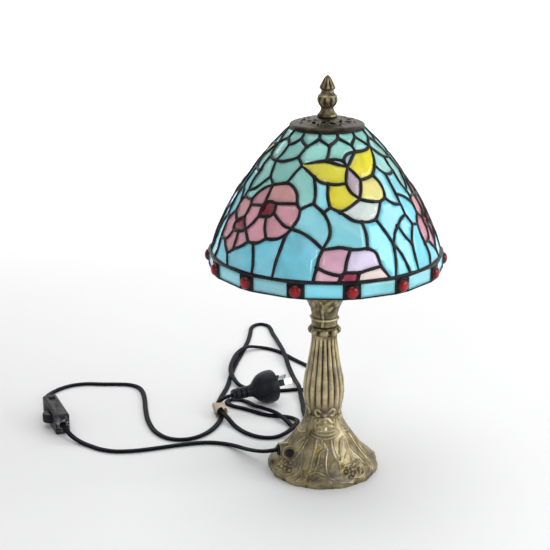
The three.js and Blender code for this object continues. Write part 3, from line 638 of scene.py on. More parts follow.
PATTERN_BENDS = {
    "a0 p0": [(-68, 300.5)], "p0 a1": [(-56, 300.5)], "a1 p1": [(-45, 300.3)], "p1 a2": [(-33, 301.5)],
    "a2 p2": [(-20, 301.5)], "p2 a3": [(-6, 302.3)], "a3 p3": [(6.5, 302.5)], "p3 a4": [(20, 302.8)],
    "a4 p4": [(33, 302.5)], "p4 a0+": [(46, 301.5)], "a1 c0": [(-52, 292)], "a2 c1": [(-28.7, 295)],
    "a3 c3": [(0, 296.5), (-1.2, 293)], "c0 c1": [(-46, 287), (-38, 289)],
    "c2 c3": [(-15, 288.5), (-8, 289.7)], "c3 c4": [(5, 291)], "c3 w0": [(6, 288)],
    "c4 c5": [(17, 293.3), (22, 294.8)], "w0 c5": [(20, 289), (24.5, 292.8)],
    "c5 a0+": [(37, 295.3), (46, 295.7)], "a0 e0": [(-71, 292)], "e0 c0": [(-61, 286.7)],
    "e0 e1": [(-69.3, 282.5)], "e1 e2": [(-69, 268.5)], "c0 c8": [(-52.6, 280.5)],
    "c8 e2": [(-55, 270.3), (-60, 264.8)], "c9 f0": [(-50.5, 266.8), (-54.8, 262)],
    "e3 f0": [(-61.5, 256.3)], "c9 c10": [(-38, 271.7)], "c10 c2": [(-30, 278.3), (-27, 283)],
    "c10 g1": [(-26.5, 270.5), (-22.5, 265.5)], "c9 h0": [(-44.2, 263)], "h0 h1": [(-40, 258.7)],
    "h1 g1": [(-29, 258.7)], "g1 m0": [(-20, 257.5)], "m0 g2": [(-18.6, 249.5)], "h1 h2": [(-34.8, 254.5)],
    "h2 g2": [(-30, 246.3), (-26, 243)], "h2 h3": [(-37, 248.2)], "h3 k1": [(-38.3, 240)],
    "g3 k1": [(-28, 233.6), (-32, 232.2)], "k1 k2": [(-39.5, 228.2)], "k0 n0": [(-48.7, 230.5)],
    "n0 h4": [(-47.8, 240.5)], "h4 h3": [(-42, 247)], "h5 f1": [(-50, 254)], "f1 n1": [(-55.6, 248)],
    "n1 n0": [(-54, 238.5)], "n1 q0": [(-59.5, 241.3)], "q0 l0": [(-65.3, 241.3)],
    "y0 e3": [(-68.2, 254.5)], "q0 q4": [(-63.3, 234.5)], "q3 n0": [(-54, 233)], "l0 l2": [(-71.5, 241)],
    "l2 l3": [(-74, 230)], "l1 q4": [(-64.5, 224.5)], "l1 j1": [(-64, 217.5)], "q3 j2": [(-56.2, 225)],
    "j2 k0": [(-51, 222)], "l3 b0": [(-71.8, 212)], "j1 b1": [(-58.5, 208.5)],
    "k2 b2": [(-41, 219), (-39.7, 211)], "g3 b3": [(-25.8, 227), (-27.2, 216)],
    "g2 s0": [(-15, 239.3), (-9, 234.5)], "s0 s2": [(-5.8, 221.5)], "s2 b4": [(-7.5, 209)],
    "s2 u0": [(-1, 211)], "m0 m3": [(-14, 258.8)], "m4 s0": [(-0.6, 246.5), (-0.2, 238.5)],
    "c2 c11": [(-18, 282.5)], "c11 m3": [(-10.3, 271), (-9.8, 264.5)], "c11 c12": [(-7, 275.3)],
    "c12 c13": [(-1.3, 265)], "c13 c16": [(3, 256.3)], "c12 w2": [(5, 273.6)], "w0 w2": [(13.8, 280.3)],
    "w0 w4": [(20.5, 281.3)], "w4 w3": [(22.7, 268.8)], "w2 w3": [(14.8, 268)],
    "w3 c16": [(14, 258.9), (10, 256.3)], "w4 c14": [(31, 276.7)], "c14 c7": [(40.3, 280.7)],
    "c7 a0+": [(48, 289.3)], "c14 c17": [(40.3, 272.5), (41, 266.5)], "c17 c18": [(36.6, 260.2)],
    "c18 w3": [(27, 260.6)], "c18 c19": [(31.5, 253.8)], "c19 n5": [(23, 246.5)],
    "n5 c16": [(13.5, 248.5), (9.7, 251.8)], "n5 n6": [(19.8, 238)], "n6 n7": [(15, 227.6)],
    "n7 s0": [(5, 229.6), (0.5, 228.9)], "n7 u1": [(8, 219.5)], "u2 v0": [(19, 212.3)],
    "n6 v0": [(23.3, 224.5)], "v0 b7": [(27.3, 208.8)], "c19 x0": [(31.3, 239)], "x0 b8": [(34.2, 216)],
    "x0 b9": [(38.8, 219)], "x0 x4": [(37.8, 235.5)], "x4 x3": [(45.5, 244.2)], "x4 x5": [(44.8, 230.7)],
    "x5 x6": [(50.5, 232)], "x3 x6": [(52.6, 242)], "x5 b10": [(47.6, 213)], "x2 c17": [(44.5, 256.2)],
    "x7 c7": [(47.5, 280)], "x7 e1+": [(57.5, 276)], "x8 y0+": [(58, 258.7)],
}
PANES = {
    "teal": ["t0 p0 a1 p1 t1", "t1 p1 a2 p2 t2", "t2 p2 a3 p3 t3", "t3 p3 a4 p4 t4", "t4 p4 a0+ p0+ t0+",
        "a0 p0 a1 c0 e0", "a1 p1 a2 c1 c0", "a2 p2 a3 c3 c2 c1", "a3 p3 a4 c5 c4 c3", "a4 p4 a0+ c5",
        "e0 c0 c8 e2 e1", "c0 c1 c2 c10 c9 c8", "e2 c8 c9 f0 e3", "c2 c11 m3 m0 g1 c10",
        "c7 a0+ e0+ e1+ x7"],
    "mist": ["c3 c4 w0", "c4 c5 w0"],
    "yellow": ["c2 c3 w0 w2 c12 c11", "w0 c5 a0+ c7 c14 w4", "c12 w2 w3 c16 c13"],
    "straw": ["w4 c14 c17 c18 w3"],
    "mauve": ["w0 w4 w3 w2"],
    "pearl": ["c16 w3 c18 c19 n5"],
    "turquoise": ["c11 c12 c13 m4 m3", "m0 m3 m4 s0 g2", "m4 c13 c16 n5 n6 n7 s0", "c14 c7 x7 x8 x2 c17",
        "x7 e1+ e2+ e3+ y0+ x8"],
    "salmon": ["c9 c10 g1 h1 h0", "e3 f0 f1 n1 q0 l0 y0"],
    "rose": ["c9 h0 h5 f1 f0", "h1 g1 m0 g2 h2", "h3 k1 k2 k0 n0 h4", "h2 g2 g3 k1 h3", "h5 h4 n0 n1 f1",
        "l0 q0 q4 l1 l3 l2", "q4 q3 j2 j1 l1", "q3 n0 k0 j2"],
    "wine": ["h0 h1 h2 h3 h4 h5", "q0 n1 n0 q3 q4"],
    "sky": ["l3 l1 j1 b1 b0", "j1 j2 k0 k2 b2 b1", "k2 k1 g3 b3 b2", "g3 g2 s0 s2 b4 b3",
        "n5 c19 x0 b8 b7 v0 n6", "x0 b9 b8", "x0 x4 x5 b10 b9", "c18 c17 x2 x3 x4 x0 c19", "x4 x3 x6 x5",
        "x5 x6 l2+ l3+ b0+ b10", "x8 y0+ l0+ l2+ x6 x3 x2"],
    "pink": ["s0 n7 u1 u0 s2", "s2 u0 b5 b4"],
    "raspberry": ["u0 u1 u2 b6 b5"],
    "lilac": ["n7 n6 v0 u2 u1"],
    "cream": ["u2 v0 b7 b6"],
}

# Sheet colours, as sRGB.
TINTS = dict(
    teal=(142, 212, 202), turquoise=(136, 218, 230), sky=(126, 220, 242), mist=(164, 208, 210),
    yellow=(226, 216, 50), straw=(234, 226, 124), mauve=(198, 178, 188), pearl=(210, 222, 218),
    salmon=(218, 160, 160), rose=(214, 152, 166), wine=(128, 2, 34), pink=(232, 180, 202),
    raspberry=(172, 48, 86), lilac=(226, 216, 244), cream=(232, 216, 208),
)


def dome(theta, z, out=0.0):
    """A point on the dome, moved outwards along its normal, and that normal."""
    normal = (facing(theta) - up(np.interp(z, DOME_Z, DOME_SLOPE))).normalized()
    return facing(theta) * np.interp(z, DOME_Z, DOME_R) + up(z) + normal * out, normal


SEAM = sorted((z, theta) for theta, z in [
    *(PATTERN_POINTS[n] for n in ("t0", "p0", "a0", "e0", "e1", "e2", "e3", "y0", "l0", "l2", "l3", "b0")),
    *(bend for name in ("a0 p0", "a0 e0", "e0 e1", "e1 e2", "y0 e3", "l0 l2", "l2 l3", "l3 b0")
      for bend in PATTERN_BENDS[name]),
])


def spread(theta, z, panel):
    """The angle of a pattern point in a panel. The first panel is the widest; the rest share what is left."""
    if panel == 0:
        return theta
    width = float(np.interp(z, [288, 296], [132.5, 126]))
    other = (360 - width) / 2
    start = float(np.interp(z, [s[0] for s in SEAM], [s[1] for s in SEAM]))
    return start + width + other * (panel - 1 + (theta - start) / width)


def corner(name, panel):
    panel += name.endswith("+")
    theta, z = PATTERN_POINTS[name.rstrip("+")]
    return spread(theta, z, panel) if panel < 3 else spread(theta, z, 0) + 360, z


def seam_line(a, b, panel):
    """The line of the seam between two points, both included, as (theta, z)."""
    if a.endswith("+") and b.endswith("+"):
        line = seam_line(a[:-1], b[:-1], (panel + 1) % 3)
        return [(theta + 360 * (panel == 2), z) for theta, z in line]
    bends = PATTERN_BENDS.get(f"{a} {b}")
    if bends is None:
        bends = PATTERN_BENDS.get(f"{b} {a}", [])[::-1]
    line = [corner(a, panel), *((spread(t, z, panel), z) for t, z in bends), corner(b, panel)]
    flat = smooth([(math.radians(t) * UNROLL, z) for t, z in line], 2.4)
    return [(math.degrees(x / UNROLL), z) for x, z in flat]


def inside(point, outline):
    hit = False
    for (x0, y0), (x1, y1) in zip(outline, outline[1:] + outline[:1]):
        if (y0 > point[1]) != (y1 > point[1]) and point[0] < x0 + (x1 - x0) * (point[1] - y0) / (y1 - y0):
            hit = not hit
    return hit


def glass_mesh():
    bm = bmesh.new()
    return bm, bm.verts.layers.float_color.new("tint"), bm.verts.layers.float_vector.new("grain")


def sheet_color(tint, shade):
    return (*(min(1, (c / 255) ** 2.2 * shade) for c in TINTS[tint]), 1)


def adrift(rng):
    """A random place in the noise, so that no two panes have the same streaks."""
    return Vector([rng.uniform(-9, 9) for _ in range(3)])


def pane(bm, outline, tint, rng):
    """One pane of sheet glass inside an outline of (theta, z)."""
    count = len(outline)
    theta0 = sum(t for t, z in outline) / count
    z0 = sum(z for t, z in outline) / count
    r0 = float(np.interp(z0, DOME_Z, DOME_R))
    flat = [(math.radians(t - theta0) * r0, (z - z0) * RISE) for t, z in outline]
    low, high = np.min(flat, axis=0) + FILL_EDGE, np.max(flat, axis=0)
    across, upwards = (np.arange(low[i], high[i], FILL_STEP) for i in (0, 1))
    fill = [(x, y) for x in across for y in upwards]
    fill = [p for p in fill if inside(p, flat) and min(math.dist(p, q) for q in flat) > FILL_EDGE]
    edges = [(i, (i + 1) % count) for i in range(count)]
    points, _, faces, *_ = delaunay_2d_cdt(
        [Vector(p) for p in flat + fill], edges, [list(range(count))], 1, 1e-5)
    surface = [dome(math.degrees(p.x / r0) + theta0, p.y / RISE + z0, -GLASS_DEPTH)[0] for p in points]
    rim = [dome(t, z, -GLASS_DEPTH)[0] for t, z in outline]
    centre = sum(rim, Vector()) / count
    facet = sum(((a - centre).cross(b - centre) for a, b in zip(rim, rim[1:] + rim[:1])), Vector())
    facet.normalize()
    if facet.dot(centre) < 0:
        facet.negate()
    surface = [p - facet * ((p - centre).dot(facet) * FLATNESS) for p in surface]
    lean, shade = rng.uniform(-0.9, 0.9), rng.uniform(0.88, 1.08)
    away = adrift(rng)
    turn = Matrix.Rotation(lean, 3, "Z")
    verts = plate(bm, surface, [p - facet * GLASS_THICK for p in surface], faces)
    tints, grains = bm.verts.layers.float_color["tint"], bm.verts.layers.float_vector["grain"]
    for vert, p in zip(verts, points * 2):
        vert[tints] = sheet_color(tint, shade)
        vert[grains] = turn @ Vector((p.x, p.y, 0)) * MM + away


def bead(bm, line, section=SEAM_SECTION, closed=False):
    """A run of solder along a line of (theta, z), a little uneven in width."""
    points, normals = zip(*(dome(t, z, -SEAM_DEPTH) for t, z in line))
    sweep(bm, points, normals, section, closed, uneven(points, 0.16, 0.16))


def make_dome():
    rng = random.Random(7)
    seams = {}
    for panel in range(3):
        bm = glass_mesh()[0]
        for tint, outlines in PANES.items():
            for names in outlines:
                names = names.split()
                outline = []
                for a, b in zip(names, names[1:] + names[:1]):
                    line = seam_line(a, b, panel)
                    ends = {(n.rstrip("+"), (panel + n.endswith("+")) % 3) for n in (a, b)}
                    seams.setdefault(frozenset(ends), line)
                    outline += line[:-1]
                pane(bm, outline, tint, rng)
        nodes = f"dome_glass_{2 * panel + 1} dome_glass_{2 * panel + 2}"
        piece(f"glass_panel_{panel + 1}", bm, GLASS, nodes, "shade", crease=30, recalc=False)
    bm = bmesh.new()
    joints = {}
    for line in seams.values():
        bead(bm, line)
        for at in (line[0], line[-1]):
            joints.setdefault((round(at[0] % 360, 1), round(at[1], 1)), at)
    for theta, z in joints.values():
        centre, normal = dome(theta, z, -SEAM_DEPTH)
        side = normal.orthogonal().normalized()
        width = rng.uniform(1.9, 2.5)
        place = axes_at(side * width, normal.cross(side) * width, normal * 1.98, centre)
        bmesh.ops.create_icosphere(bm, subdivisions=2, radius=1, matrix=place)
    for z, section in ((308.4, oval(0.75, 1.4)), (204.4, oval(0.7, 1.9))):
        bead(bm, [(theta, z) for theta in range(0, 360, 4)], section, closed=True)
    piece("dome_seams", bm, SOLDER, body="shade", crease=60)


make_dome()


# ---- Border, pads and jewels ----

BORDER_SIDES = 14
BORDER_R = 98.9
BORDER_Z = (190.3, 202.6)
PAD_HALF = 6.4
PAD_THICK, TILE_THICK = 2.6, 2.2
FIRST_JEWEL = -15.9  # angle of the first jewel
JEWEL_Z = 196.2
JEWEL_R, JEWEL_FOOT_R, JEWEL_RISE = 5.25, 5.2, 3.9
BEZEL_R = 5.55


def border_frame(k):
    out = facing(FIRST_JEWEL + 360 / BORDER_SIDES * k)
    return out, Vector((-out.y, out.x, 0))


def slab(bm, left, right, out, thick, columns, rows, rough=0.0):
    """A flat plate as high as the border, with a grid on its outer face between two uprights."""
    outer, inner = [], []
    for v in np.arange(rows + 1) / rows:
        for u in np.arange(columns + 1) / columns:
            foot, head = ((left + up(z)) * (1 - u) + (right + up(z)) * u for z in BORDER_Z)
            p = foot * (1 - v) + head * v
            outer.append(p + out * (rough * noise.noise(p * 0.6)))
            inner.append(p - out * thick)
    row = columns + 1
    return plate(bm, outer, inner, [(k, k + 1, k + row + 1, k + row)
                                    for i in range(rows) for k in range(i * row, i * row + columns)])


def make_border():
    rng = random.Random(23)
    metal = bmesh.new()
    glass, tints, grains = glass_mesh()
    low, high = BORDER_Z
    outline = []
    for k in range(BORDER_SIDES):
        out, along = border_frame(k)
        next_out, next_along = border_frame(k + 1)
        left, right = out * BORDER_R - along * PAD_HALF, out * BORDER_R + along * PAD_HALF
        beyond = next_out * BORDER_R - next_along * PAD_HALF
        outline += [left, right]
        slab(metal, left, right, out, PAD_THICK, 10, 10, 0.5)
        verts = slab(glass, right, beyond, (out + next_out).normalized(), TILE_THICK, 8, 3)
        shade = rng.uniform(0.9, 1.08)
        color = sheet_color(rng.choice(["sky", "sky", "turquoise"]), shade)
        away = adrift(rng)
        for vert in verts:
            vert[tints] = color
            vert[grains] = Vector((vert.co.z, (vert.co - right).dot(along), 0)) * MM + away
        for foot in (left, right):
            line = [foot + up(z) - out * 1.1 for z in np.linspace(low, high, 8)]
            sweep(metal, line, out, oval(1.15, 1.85, 10), size=uneven(line, 0.15, 0.3))
    sides = zip(outline, outline[1:] + outline[:1])
    rim = [a + (b - a) * t for a, b in sides for t in (0.0, 0.25, 0.5, 0.75)]
    normals = [p.normalized() for p in rim]
    for z, section in ((low + 0.1, oval(0.75, 1.9, 10)), (high + 0.3, oval(0.85, 2.1, 10))):
        line = [p + up(z) - normal for p, normal in zip(rim, normals)]
        sweep(metal, line, normals, section, True, uneven(line, 0.12, 0.25))
    piece("border_tiles_glass", glass, GLASS, "border_tiles", "shade", recalc=False)
    piece("border_metal", metal, SOLDER, "border_lower_came border_upper_came", "shade", crease=60)


def make_jewels():
    profile = [(0, 0), (JEWEL_FOOT_R, 0), (JEWEL_R, 0.6)]
    profile += [(JEWEL_R * math.cos(a) ** 0.9 if a < 1.57 else 0, 0.6 + JEWEL_RISE * math.sin(a))
                for a in np.linspace(0, math.pi / 2, 10)[1:]]
    for k in range(BORDER_SIDES):
        out, along = border_frame(k)
        place = axes_at(along, up(1), out, out * BORDER_R + up(JEWEL_Z))
        bm = bmesh.new()
        lathe(bm, profile, 28)
        wear_and_painted_light = bm.verts.layers.float["wear_and_painted_light"]
        for vert in bm.verts:
            # Painted light: 1 at the jewel's middle, falling to 0 at its rim, for the ruby's painted glow.
            vert[wear_and_painted_light] = 1 - min(1, math.hypot(vert.co.x, vert.co.y) / JEWEL_FOOT_R) ** 2
        bm.transform(place)
        piece(f"cabochon_{k + 1:02d}", bm, RUBY, f"jewel_{k + 1:02d}", "shade", crease=50)
        bm = bmesh.new()
        ring = [Vector((x, y, 0.35)) for x, y in oval(BEZEL_R, BEZEL_R, 32)]
        sweep(bm, ring, up(1), oval(0.75, 0.8, 10), True, uneven(ring, 0.25, 0.5, out * 9))
        bm.transform(place)
        piece(f"bezel_{k + 1:02d}", bm, SOLDER, body="shade", crease=60)


make_border()
make_jewels()


# ---- Cast relief ----

COLUMN_START = 61.9  # distance up the surface from the foot's rim to the column
MOULD_JOINT = -15.5  # angle of the flash left by the mould
BORE = 5.8

# Motifs of the foot, as (half width, height, line). s is measured up the surface from the rim.
FOOT_STROKES = [
    (0.9, 0.9, [(-30, 46.5), (-12, 44.2), (4, 43.4), (22, 44.4), (38, 47.5)]),
    (0.9, 0.8, [(-28, 49), (-12, 47.3), (4, 46.8), (22, 47.3), (36, 49.4)]),
    (0.7, 0.9, [(-5, 42), (0, 38), (5, 34), (3, 28), (1.5, 21), (3, 13), (9, 6), (16, 3.4), (25, 2),
                (31, 0.6)]),
    (0.6, 0.8, [(15, 41.5), (15, 34), (17, 27), (20, 23), (24, 22), (27, 25), (29, 30), (35, 37), (45, 42)]),
    (0.5, 0.6, [(21, 41), (20, 35), (21.5, 29), (24, 26.5), (27, 30), (31, 36), (38, 41)]),
    (0.7, 0.7, [(5, 34), (-2, 33), (-8, 30), (-9, 24), (-11, 17), (-13, 12)]),
    (0.6, 0.7, [(-7, 42), (-4, 38), (1, 35)]),
    (0.7, 0.8, [(-17, 42), (-17, 33), (-18, 22), (-18, 15), (-21, 8)]),
    (0.6, 0.8, [(-21, 8), (-16, 12), (-8, 13.5), (0, 11), (4, 8.5)]),
    (0.5, 0.6, [(-15, 16), (-9, 18), (-4, 21)]),
    (0.5, 0.5, [(-13, 3), (-6, 7.5), (3, 10)]),
    (0.6, 0.7, [(-36, 41), (-40, 34), (-37, 26), (-33, 20), (-31, 12), (-35, 6)]),
    (0.5, 0.6, [(-44, 38), (-47, 30), (-44, 22), (-40, 16)]),
    (0.6, 0.7, [(-30, 2), (-26, 8), (-30, 14), (-38, 17)]),
    (0.7, 0.8, [(50, 34), (46, 26), (42, 19), (34, 17), (26, 17)]),
    (0.5, 0.6, [(46, 30), (38, 27), (33, 24)]),
    (0.4, 0.5, [(20, 14), (21, 19), (21, 23)]),
    (0.6, 0.7, [(52, 22), (54, 14), (50, 7), (43, 4), (36, 4), (28, 6)]),
]
FOOT_PLEATS = [(0.45, -0.35, [(a, 41.5), (a + 1, 33)]) for a in (-3, 3, 8)]
FOOT_BERRIES = [(26, 12), (31, 15), (36, 12.5), (40, 16), (45, 13), (33, 9), (39, 8.5), (46, 9), (29, 6),
                (49, 17)]
CARTOUCHE = [
    (1.1, 1.1, [(2, 62), (-9, 65.5), (-20, 69), (-29, 66.5), (-26, 62.5), (-17, 62.8)]),
    (1.1, 1.1, [(4, 62), (14, 65.5), (25, 69.5), (36, 67), (34, 62.5), (24, 62.8)]),
    (1.0, 1.0, [(2, 61), (-10, 59.5), (-22, 57), (-30, 58.5)]),
    (1.0, 1.0, [(4, 61), (15, 59.5), (27, 56.5), (35, 58.5)]),
    (1.3, 1.3, [(3, 64), (3, 60), (3, 57.5)]),
    (0.8, 0.8, [(-29, 56), (-24, 53), (-13, 53.8), (3, 55), (19, 53.8), (30, 53), (35, 56)]),
    (0.8, 0.7, [(-27, 53), (-23, 50.5), (-9, 49.8)]),
    (0.8, 0.7, [(33, 53), (29, 50.5), (15, 49.8)]),
    (1.2, 1.1, [(3, 52.5), (3, 50.5)]),
    (0.8, -0.8, [(-6, 64.3), (-14, 65.6)]),
    (0.8, -0.8, [(11, 64.3), (20, 65.8)]),
]


def clamp(value):
    return np.clip(value, 0, 1)


def peak(value, at, width):
    return np.exp(-((value - at) / width) ** 2)


def around(theta, at, period):
    """Angle from a place that repeats round the axis, in degrees."""
    return (theta - at + period / 2) % period - period / 2


def fluted(theta, at, count):
    """1 on each crest and 0 in each of the grooves between them."""
    return np.abs(np.cos(np.radians(theta + at) * count))


def grid(outline, sides):
    """theta, r, z and the distance along an outline, with a row for each of its points."""
    run = np.cumsum([0, *(math.dist(a, b) for a, b in zip(outline, outline[1:]))])
    columns = (*np.array(outline).T, run)
    return np.tile(np.arange(sides) * 360 / sides, (len(outline), 1)), *(
        np.repeat(column[:, None], sides, axis=1) for column in columns)


def raised_lines(theta, s, r, strokes):
    """Height of a set of strokes that repeats in each quarter, and painted shade along their sides.

    Each stroke is (half width, height, line of (theta, s) points)."""
    height, painted_side_shade = np.zeros(theta.shape), np.zeros(theta.shape)
    for width, rise, points in strokes:
        near = np.full(theta.shape, 1e9)
        points = smooth(points, 1.5)
        for (a0, s0), (a1, s1) in zip(points, points[1:]):
            x, y = np.radians(around(theta, a0, 90)) * r, s - s0
            dx, dy = np.radians(a1 - a0) * r, s1 - s0
            t = clamp((x * dx + y * dy) / (dx * dx + dy * dy + 1e-9))
            near = np.minimum(near, np.hypot(x - dx * t, y - dy * t))
        bump = rise * peak(near, 0, width)
        height = np.where(rise > 0, np.maximum(height, bump), height + bump)
        # Painted shade: a dark band just beside each stroke.
        painted_side_shade = np.maximum(painted_side_shade, peak(near, 1.9 * width, 0.75 * width))
    return height, painted_side_shade


def rough_field(theta, s, r, scale, seed):
    """Smooth noise over a turned surface, from -1 to 1."""
    angle = np.radians(theta)
    spots = np.stack([r * np.sin(angle), -r * np.cos(angle), s + seed * 37.0], axis=-1) / scale
    return np.array([noise.noise(Vector(p)) for p in spots.reshape(-1, 3)]).reshape(theta.shape)


def parting_line(theta, r):
    """The fine flash left along the mould's joint, front and back."""
    return 0.45 * peak(np.radians(around(theta, MOULD_JOINT, 180)) * r, 0, 0.45)


def cast(name, outline, inner, out, wear, node, finish=BRASS, more=None, unseen=0.2, crease=70, body="stand"):
    """A relief casting: an outline with its own relief, and wear with painted shade, closed by plain inner
    faces.
    """
    bm = bmesh.new()
    sides = wear.shape[1]
    plain = ((0, len(inner)), (0, 0))
    lathe(bm, [*outline, *inner], sides, np.pad(out, plain), np.pad(wear, plain, constant_values=unseen))
    if more:
        more(bm)
    return piece(name, bm, finish, node, body, crease=crease)


def aimed(point, direction):
    return Matrix.Translation(point) @ Vector(direction).to_track_quat("Z", "Y").to_matrix().to_4x4()


MOUTH = aimed((-39.5, -4.5, 17), facing(-76))
CLAMP = aimed((-30, -18.5, 20.3), (0.1, -0.88, 0.46))


def foot_bosses(bm):
    """The two short barrels: the flex leaves by one, and the other holds the clamping screw."""
    barrel = [(6.4, -1.2), (6.1, 0), (5.3, 0)]
    mouth = [(6.2, -14), *barrel, (5.0, -0.4), (4.1, -0.6), (4.0, -9), (5, -14)]
    clamp = [(6.2, -12), *barrel, (4.9, -0.5), (2.2, -0.6), (2.2, -9), (5, -12)]
    turned_into(bm, rounded(mouth, 0.6), 40, MOUTH)
    turned_into(bm, rounded(clamp, 0.6), 40, CLAMP, wear=0.55)


def make_foot():
    outline = smooth([(48.9, 0.2), (49.5, 2.4), (49.2, 4.8), (46.3, 8.4), (40, 13.6), (32.2, 22), (26.6, 30),
                      (19, 41.5), (15.5, 49.5), (14.8, 52.7)], 0.62)
    theta, r, _, s = grid(outline, 420)
    s = s - s[-1] + COLUMN_START
    height, painted_side_shade = raised_lines(theta, s, r, FOOT_STROKES + FOOT_PLEATS + CARTOUCHE)
    for k, (angle, level) in enumerate(FOOT_BERRIES):
        near = np.hypot(np.radians(around(theta, angle, 90)) * r, s - level)
        size = 0.85 + 0.12 * (k % 4)
        height += 0.8 * peak(near, 0, size) - 0.9 * peak(near, size + 1, 0.8)
    folds = 0.75 * np.sin(np.radians(theta) * 11 + 0.09 * s) * clamp(1 - s / 26) * np.clip(s / 6, 0.2, 1)
    lobes = np.abs(np.sin(np.radians(theta - 8) * 6.5)) ** 0.55
    height += parting_line(theta, r) + folds * 0.6
    grain = rough_field(theta, s, r, 5.5, 1) * 0.4 + rough_field(theta, s, r, 2.6, 2) * 0.14
    grain *= np.clip(1.15 - s / 60, 0.25, 1)
    edge = -3.0 * (1 - lobes) * clamp(1 - (s + 1.5) / 9)
    # Painted shade darkens the sides of the raised lines, and the whole foot is darker towards the rim.
    wear = clamp(0.52 + 0.38 * (height * 0.55 + grain - 0.45 * painted_side_shade) + 0.3 * rough_field(theta, s, r, 11, 5))
    wear *= clamp(0.85 + s / 120)
    inner = [(BORE, 52.7), (BORE, 38), (12, 38), (22.4, 28), (36, 12), (46.2, 4.6), (46.2, 0), (47.9, 0)]
    relief = np.clip(height + grain, -1.2, 1.3) + edge
    cast("foot", outline, inner, relief, wear, "base_casting", more=foot_bosses)


def make_column():
    outline = smooth([(14.5, 53.05), (15.6, 58), (17.6, 66), (18.3, 75), (17.1, 87), (15.1, 97), (13, 109),
                      (11.3, 121), (11.3, 126.6)], 0.6)
    theta, r, z, s = grid(outline, 360)
    s = s + COLUMN_START
    ridge = fluted(theta, -2, 9) ** 0.75
    strength = clamp((z - 59) / 9) * clamp((125.5 - z) / 4)
    motif, painted_side_shade = raised_lines(theta, s, r, CARTOUCHE)
    relief = (ridge - 1) * 1.75 * strength + motif + parting_line(theta, r)
    relief += rough_field(theta, s, r, 5, 9) * 0.15
    # Painted shade darkens the sides of the cartouche lines.
    wear = clamp(0.08 + 0.72 * ridge * strength + (1 - strength) * clamp(0.35 + 0.4 * motif - 0.3 * painted_side_shade)
                + 0.3 * rough_field(theta, s, r, 9, 3))
    cast("column", outline, [(BORE, 126.6), (BORE, 53.05)], relief, wear, "column_casting")


PETAL_SIZE = (4.2, 3.3, 3.6)
PETAL_R, PETAL_Z = 11.3, 130


def petals(bm):
    """Eight drooping petals round the knuckle."""
    wear_and_painted_light = bm.verts.layers.float["wear_and_painted_light"]
    for k in range(8):
        out = facing(45 * k - 3)
        place = Matrix.Translation(out * PETAL_R + up(PETAL_Z))
        place @= out.to_track_quat("Y", "Z").to_matrix().to_4x4() @ Matrix.Diagonal((*PETAL_SIZE, 1))
        for vert in bmesh.ops.create_uvsphere(bm, u_segments=28, v_segments=16, radius=1)["verts"]:
            # Painted shade: each petal darkens towards its sides, so the gaps between the petals read dark.
            vert[wear_and_painted_light] = max(0.02, 0.62 - 0.8 * vert.co.x ** 6)
            vert.co = place @ vert.co


def make_knuckle():
    """The ring under the cup: petals under a faceted collar."""
    outline = smooth([(10.9, 127.1), (11.1, 129), (11.4, 131), (12.2, 132.7), (12.2, 133.6),
                      (11.3, 134.4)], 0.35)
    theta, r, z, _ = grid(outline, 256)
    corners = fluted(theta, 3, 4)
    out = 0.9 * (corners ** 2 - 0.6) * peak(z, 132.4, 1.2)
    wear = np.clip(0.3 + 0.35 * peak(z, 132.6, 0.7) - 0.2 * corners, 0.05, 1)
    cast("knuckle", outline, [(BORE, 134.4), (BORE, 127.1)], out, wear, "neck_ring", more=petals)


def make_cup():
    outline = smooth([(11.2, 134.9), (10.8, 137.5), (10.9, 139.4), (11.9, 140.1), (12.5, 141.2),
                      (12.0, 142.4), (10.9, 143.1), (10.8, 145), (11.6, 148), (12.8, 152), (15.4, 157),
                      (18.4, 162), (19.4, 164.8)], 0.4)
    theta, r, z, _ = grid(outline, 320)
    ribs = np.cos(np.radians(theta) * 44) * 0.16 * clamp((z - 136) / 2) * clamp((156 - z) / 4)
    ribs *= 1 - peak(z, 141.2, 1.6)
    leaves, painted_side_shade = raised_lines(theta, z, r, [
        (1.0, 0.7, [(-13, 136), (-9, 142), (-12, 149), (-8, 155), (-14, 160)]),
        (1.4, 0.5, [(-10, 150), (4, 154), (14, 151), (24, 153)]),
        (1.6, 0.6, [(-4, 155), (8, 158), (20, 161), (30, 159)]),
        (1.3, 0.5, [(30, 163), (36, 158), (45, 155), (52, 158)]),
    ])
    height = ribs + leaves
    # Painted shade darkens the sides of the leaves.
    wear = clamp(0.42 + height * 0.45 - 0.2 * painted_side_shade + 0.45 * peak(z, 141.2, 1.2)
                + 0.3 * rough_field(theta, z, r, 6, 4))
    inner = [(18.4, 165), (16.8, 161.6), (13.6, 156.8), (10.8, 153.4), (BORE, 153.4), (BORE, 134.9)]
    cast("cup", outline, inner, height, wear, "lamp_cup")


def teardrop(middle, length, width, turn):
    """A drop-shaped ring whose point lies at the far end of its length."""
    made = []
    for k in range(14):
        a = math.tau * k / 14
        drop = Vector((math.cos(a) * length / 2, math.sin(a) * width / 2 * math.sin(a / 2) ** 0.8))
        made.append(middle.xy + Matrix.Rotation(turn, 2) @ drop)
    return made


# The holes in an eighth of the cap: angle, radius, size, length and width for that size, and lean.
CAP_HOLES = [(11, 20.4, 2.4, 2.5, 1.7, 0.9), (33.5, 18.4, 1.9, 2.5, 1.7, -0.7), (24, 23.6, 1.3, 2, 2.2, 0),
             (0, 15.2, 1.5, 2, 2.2, 0)]


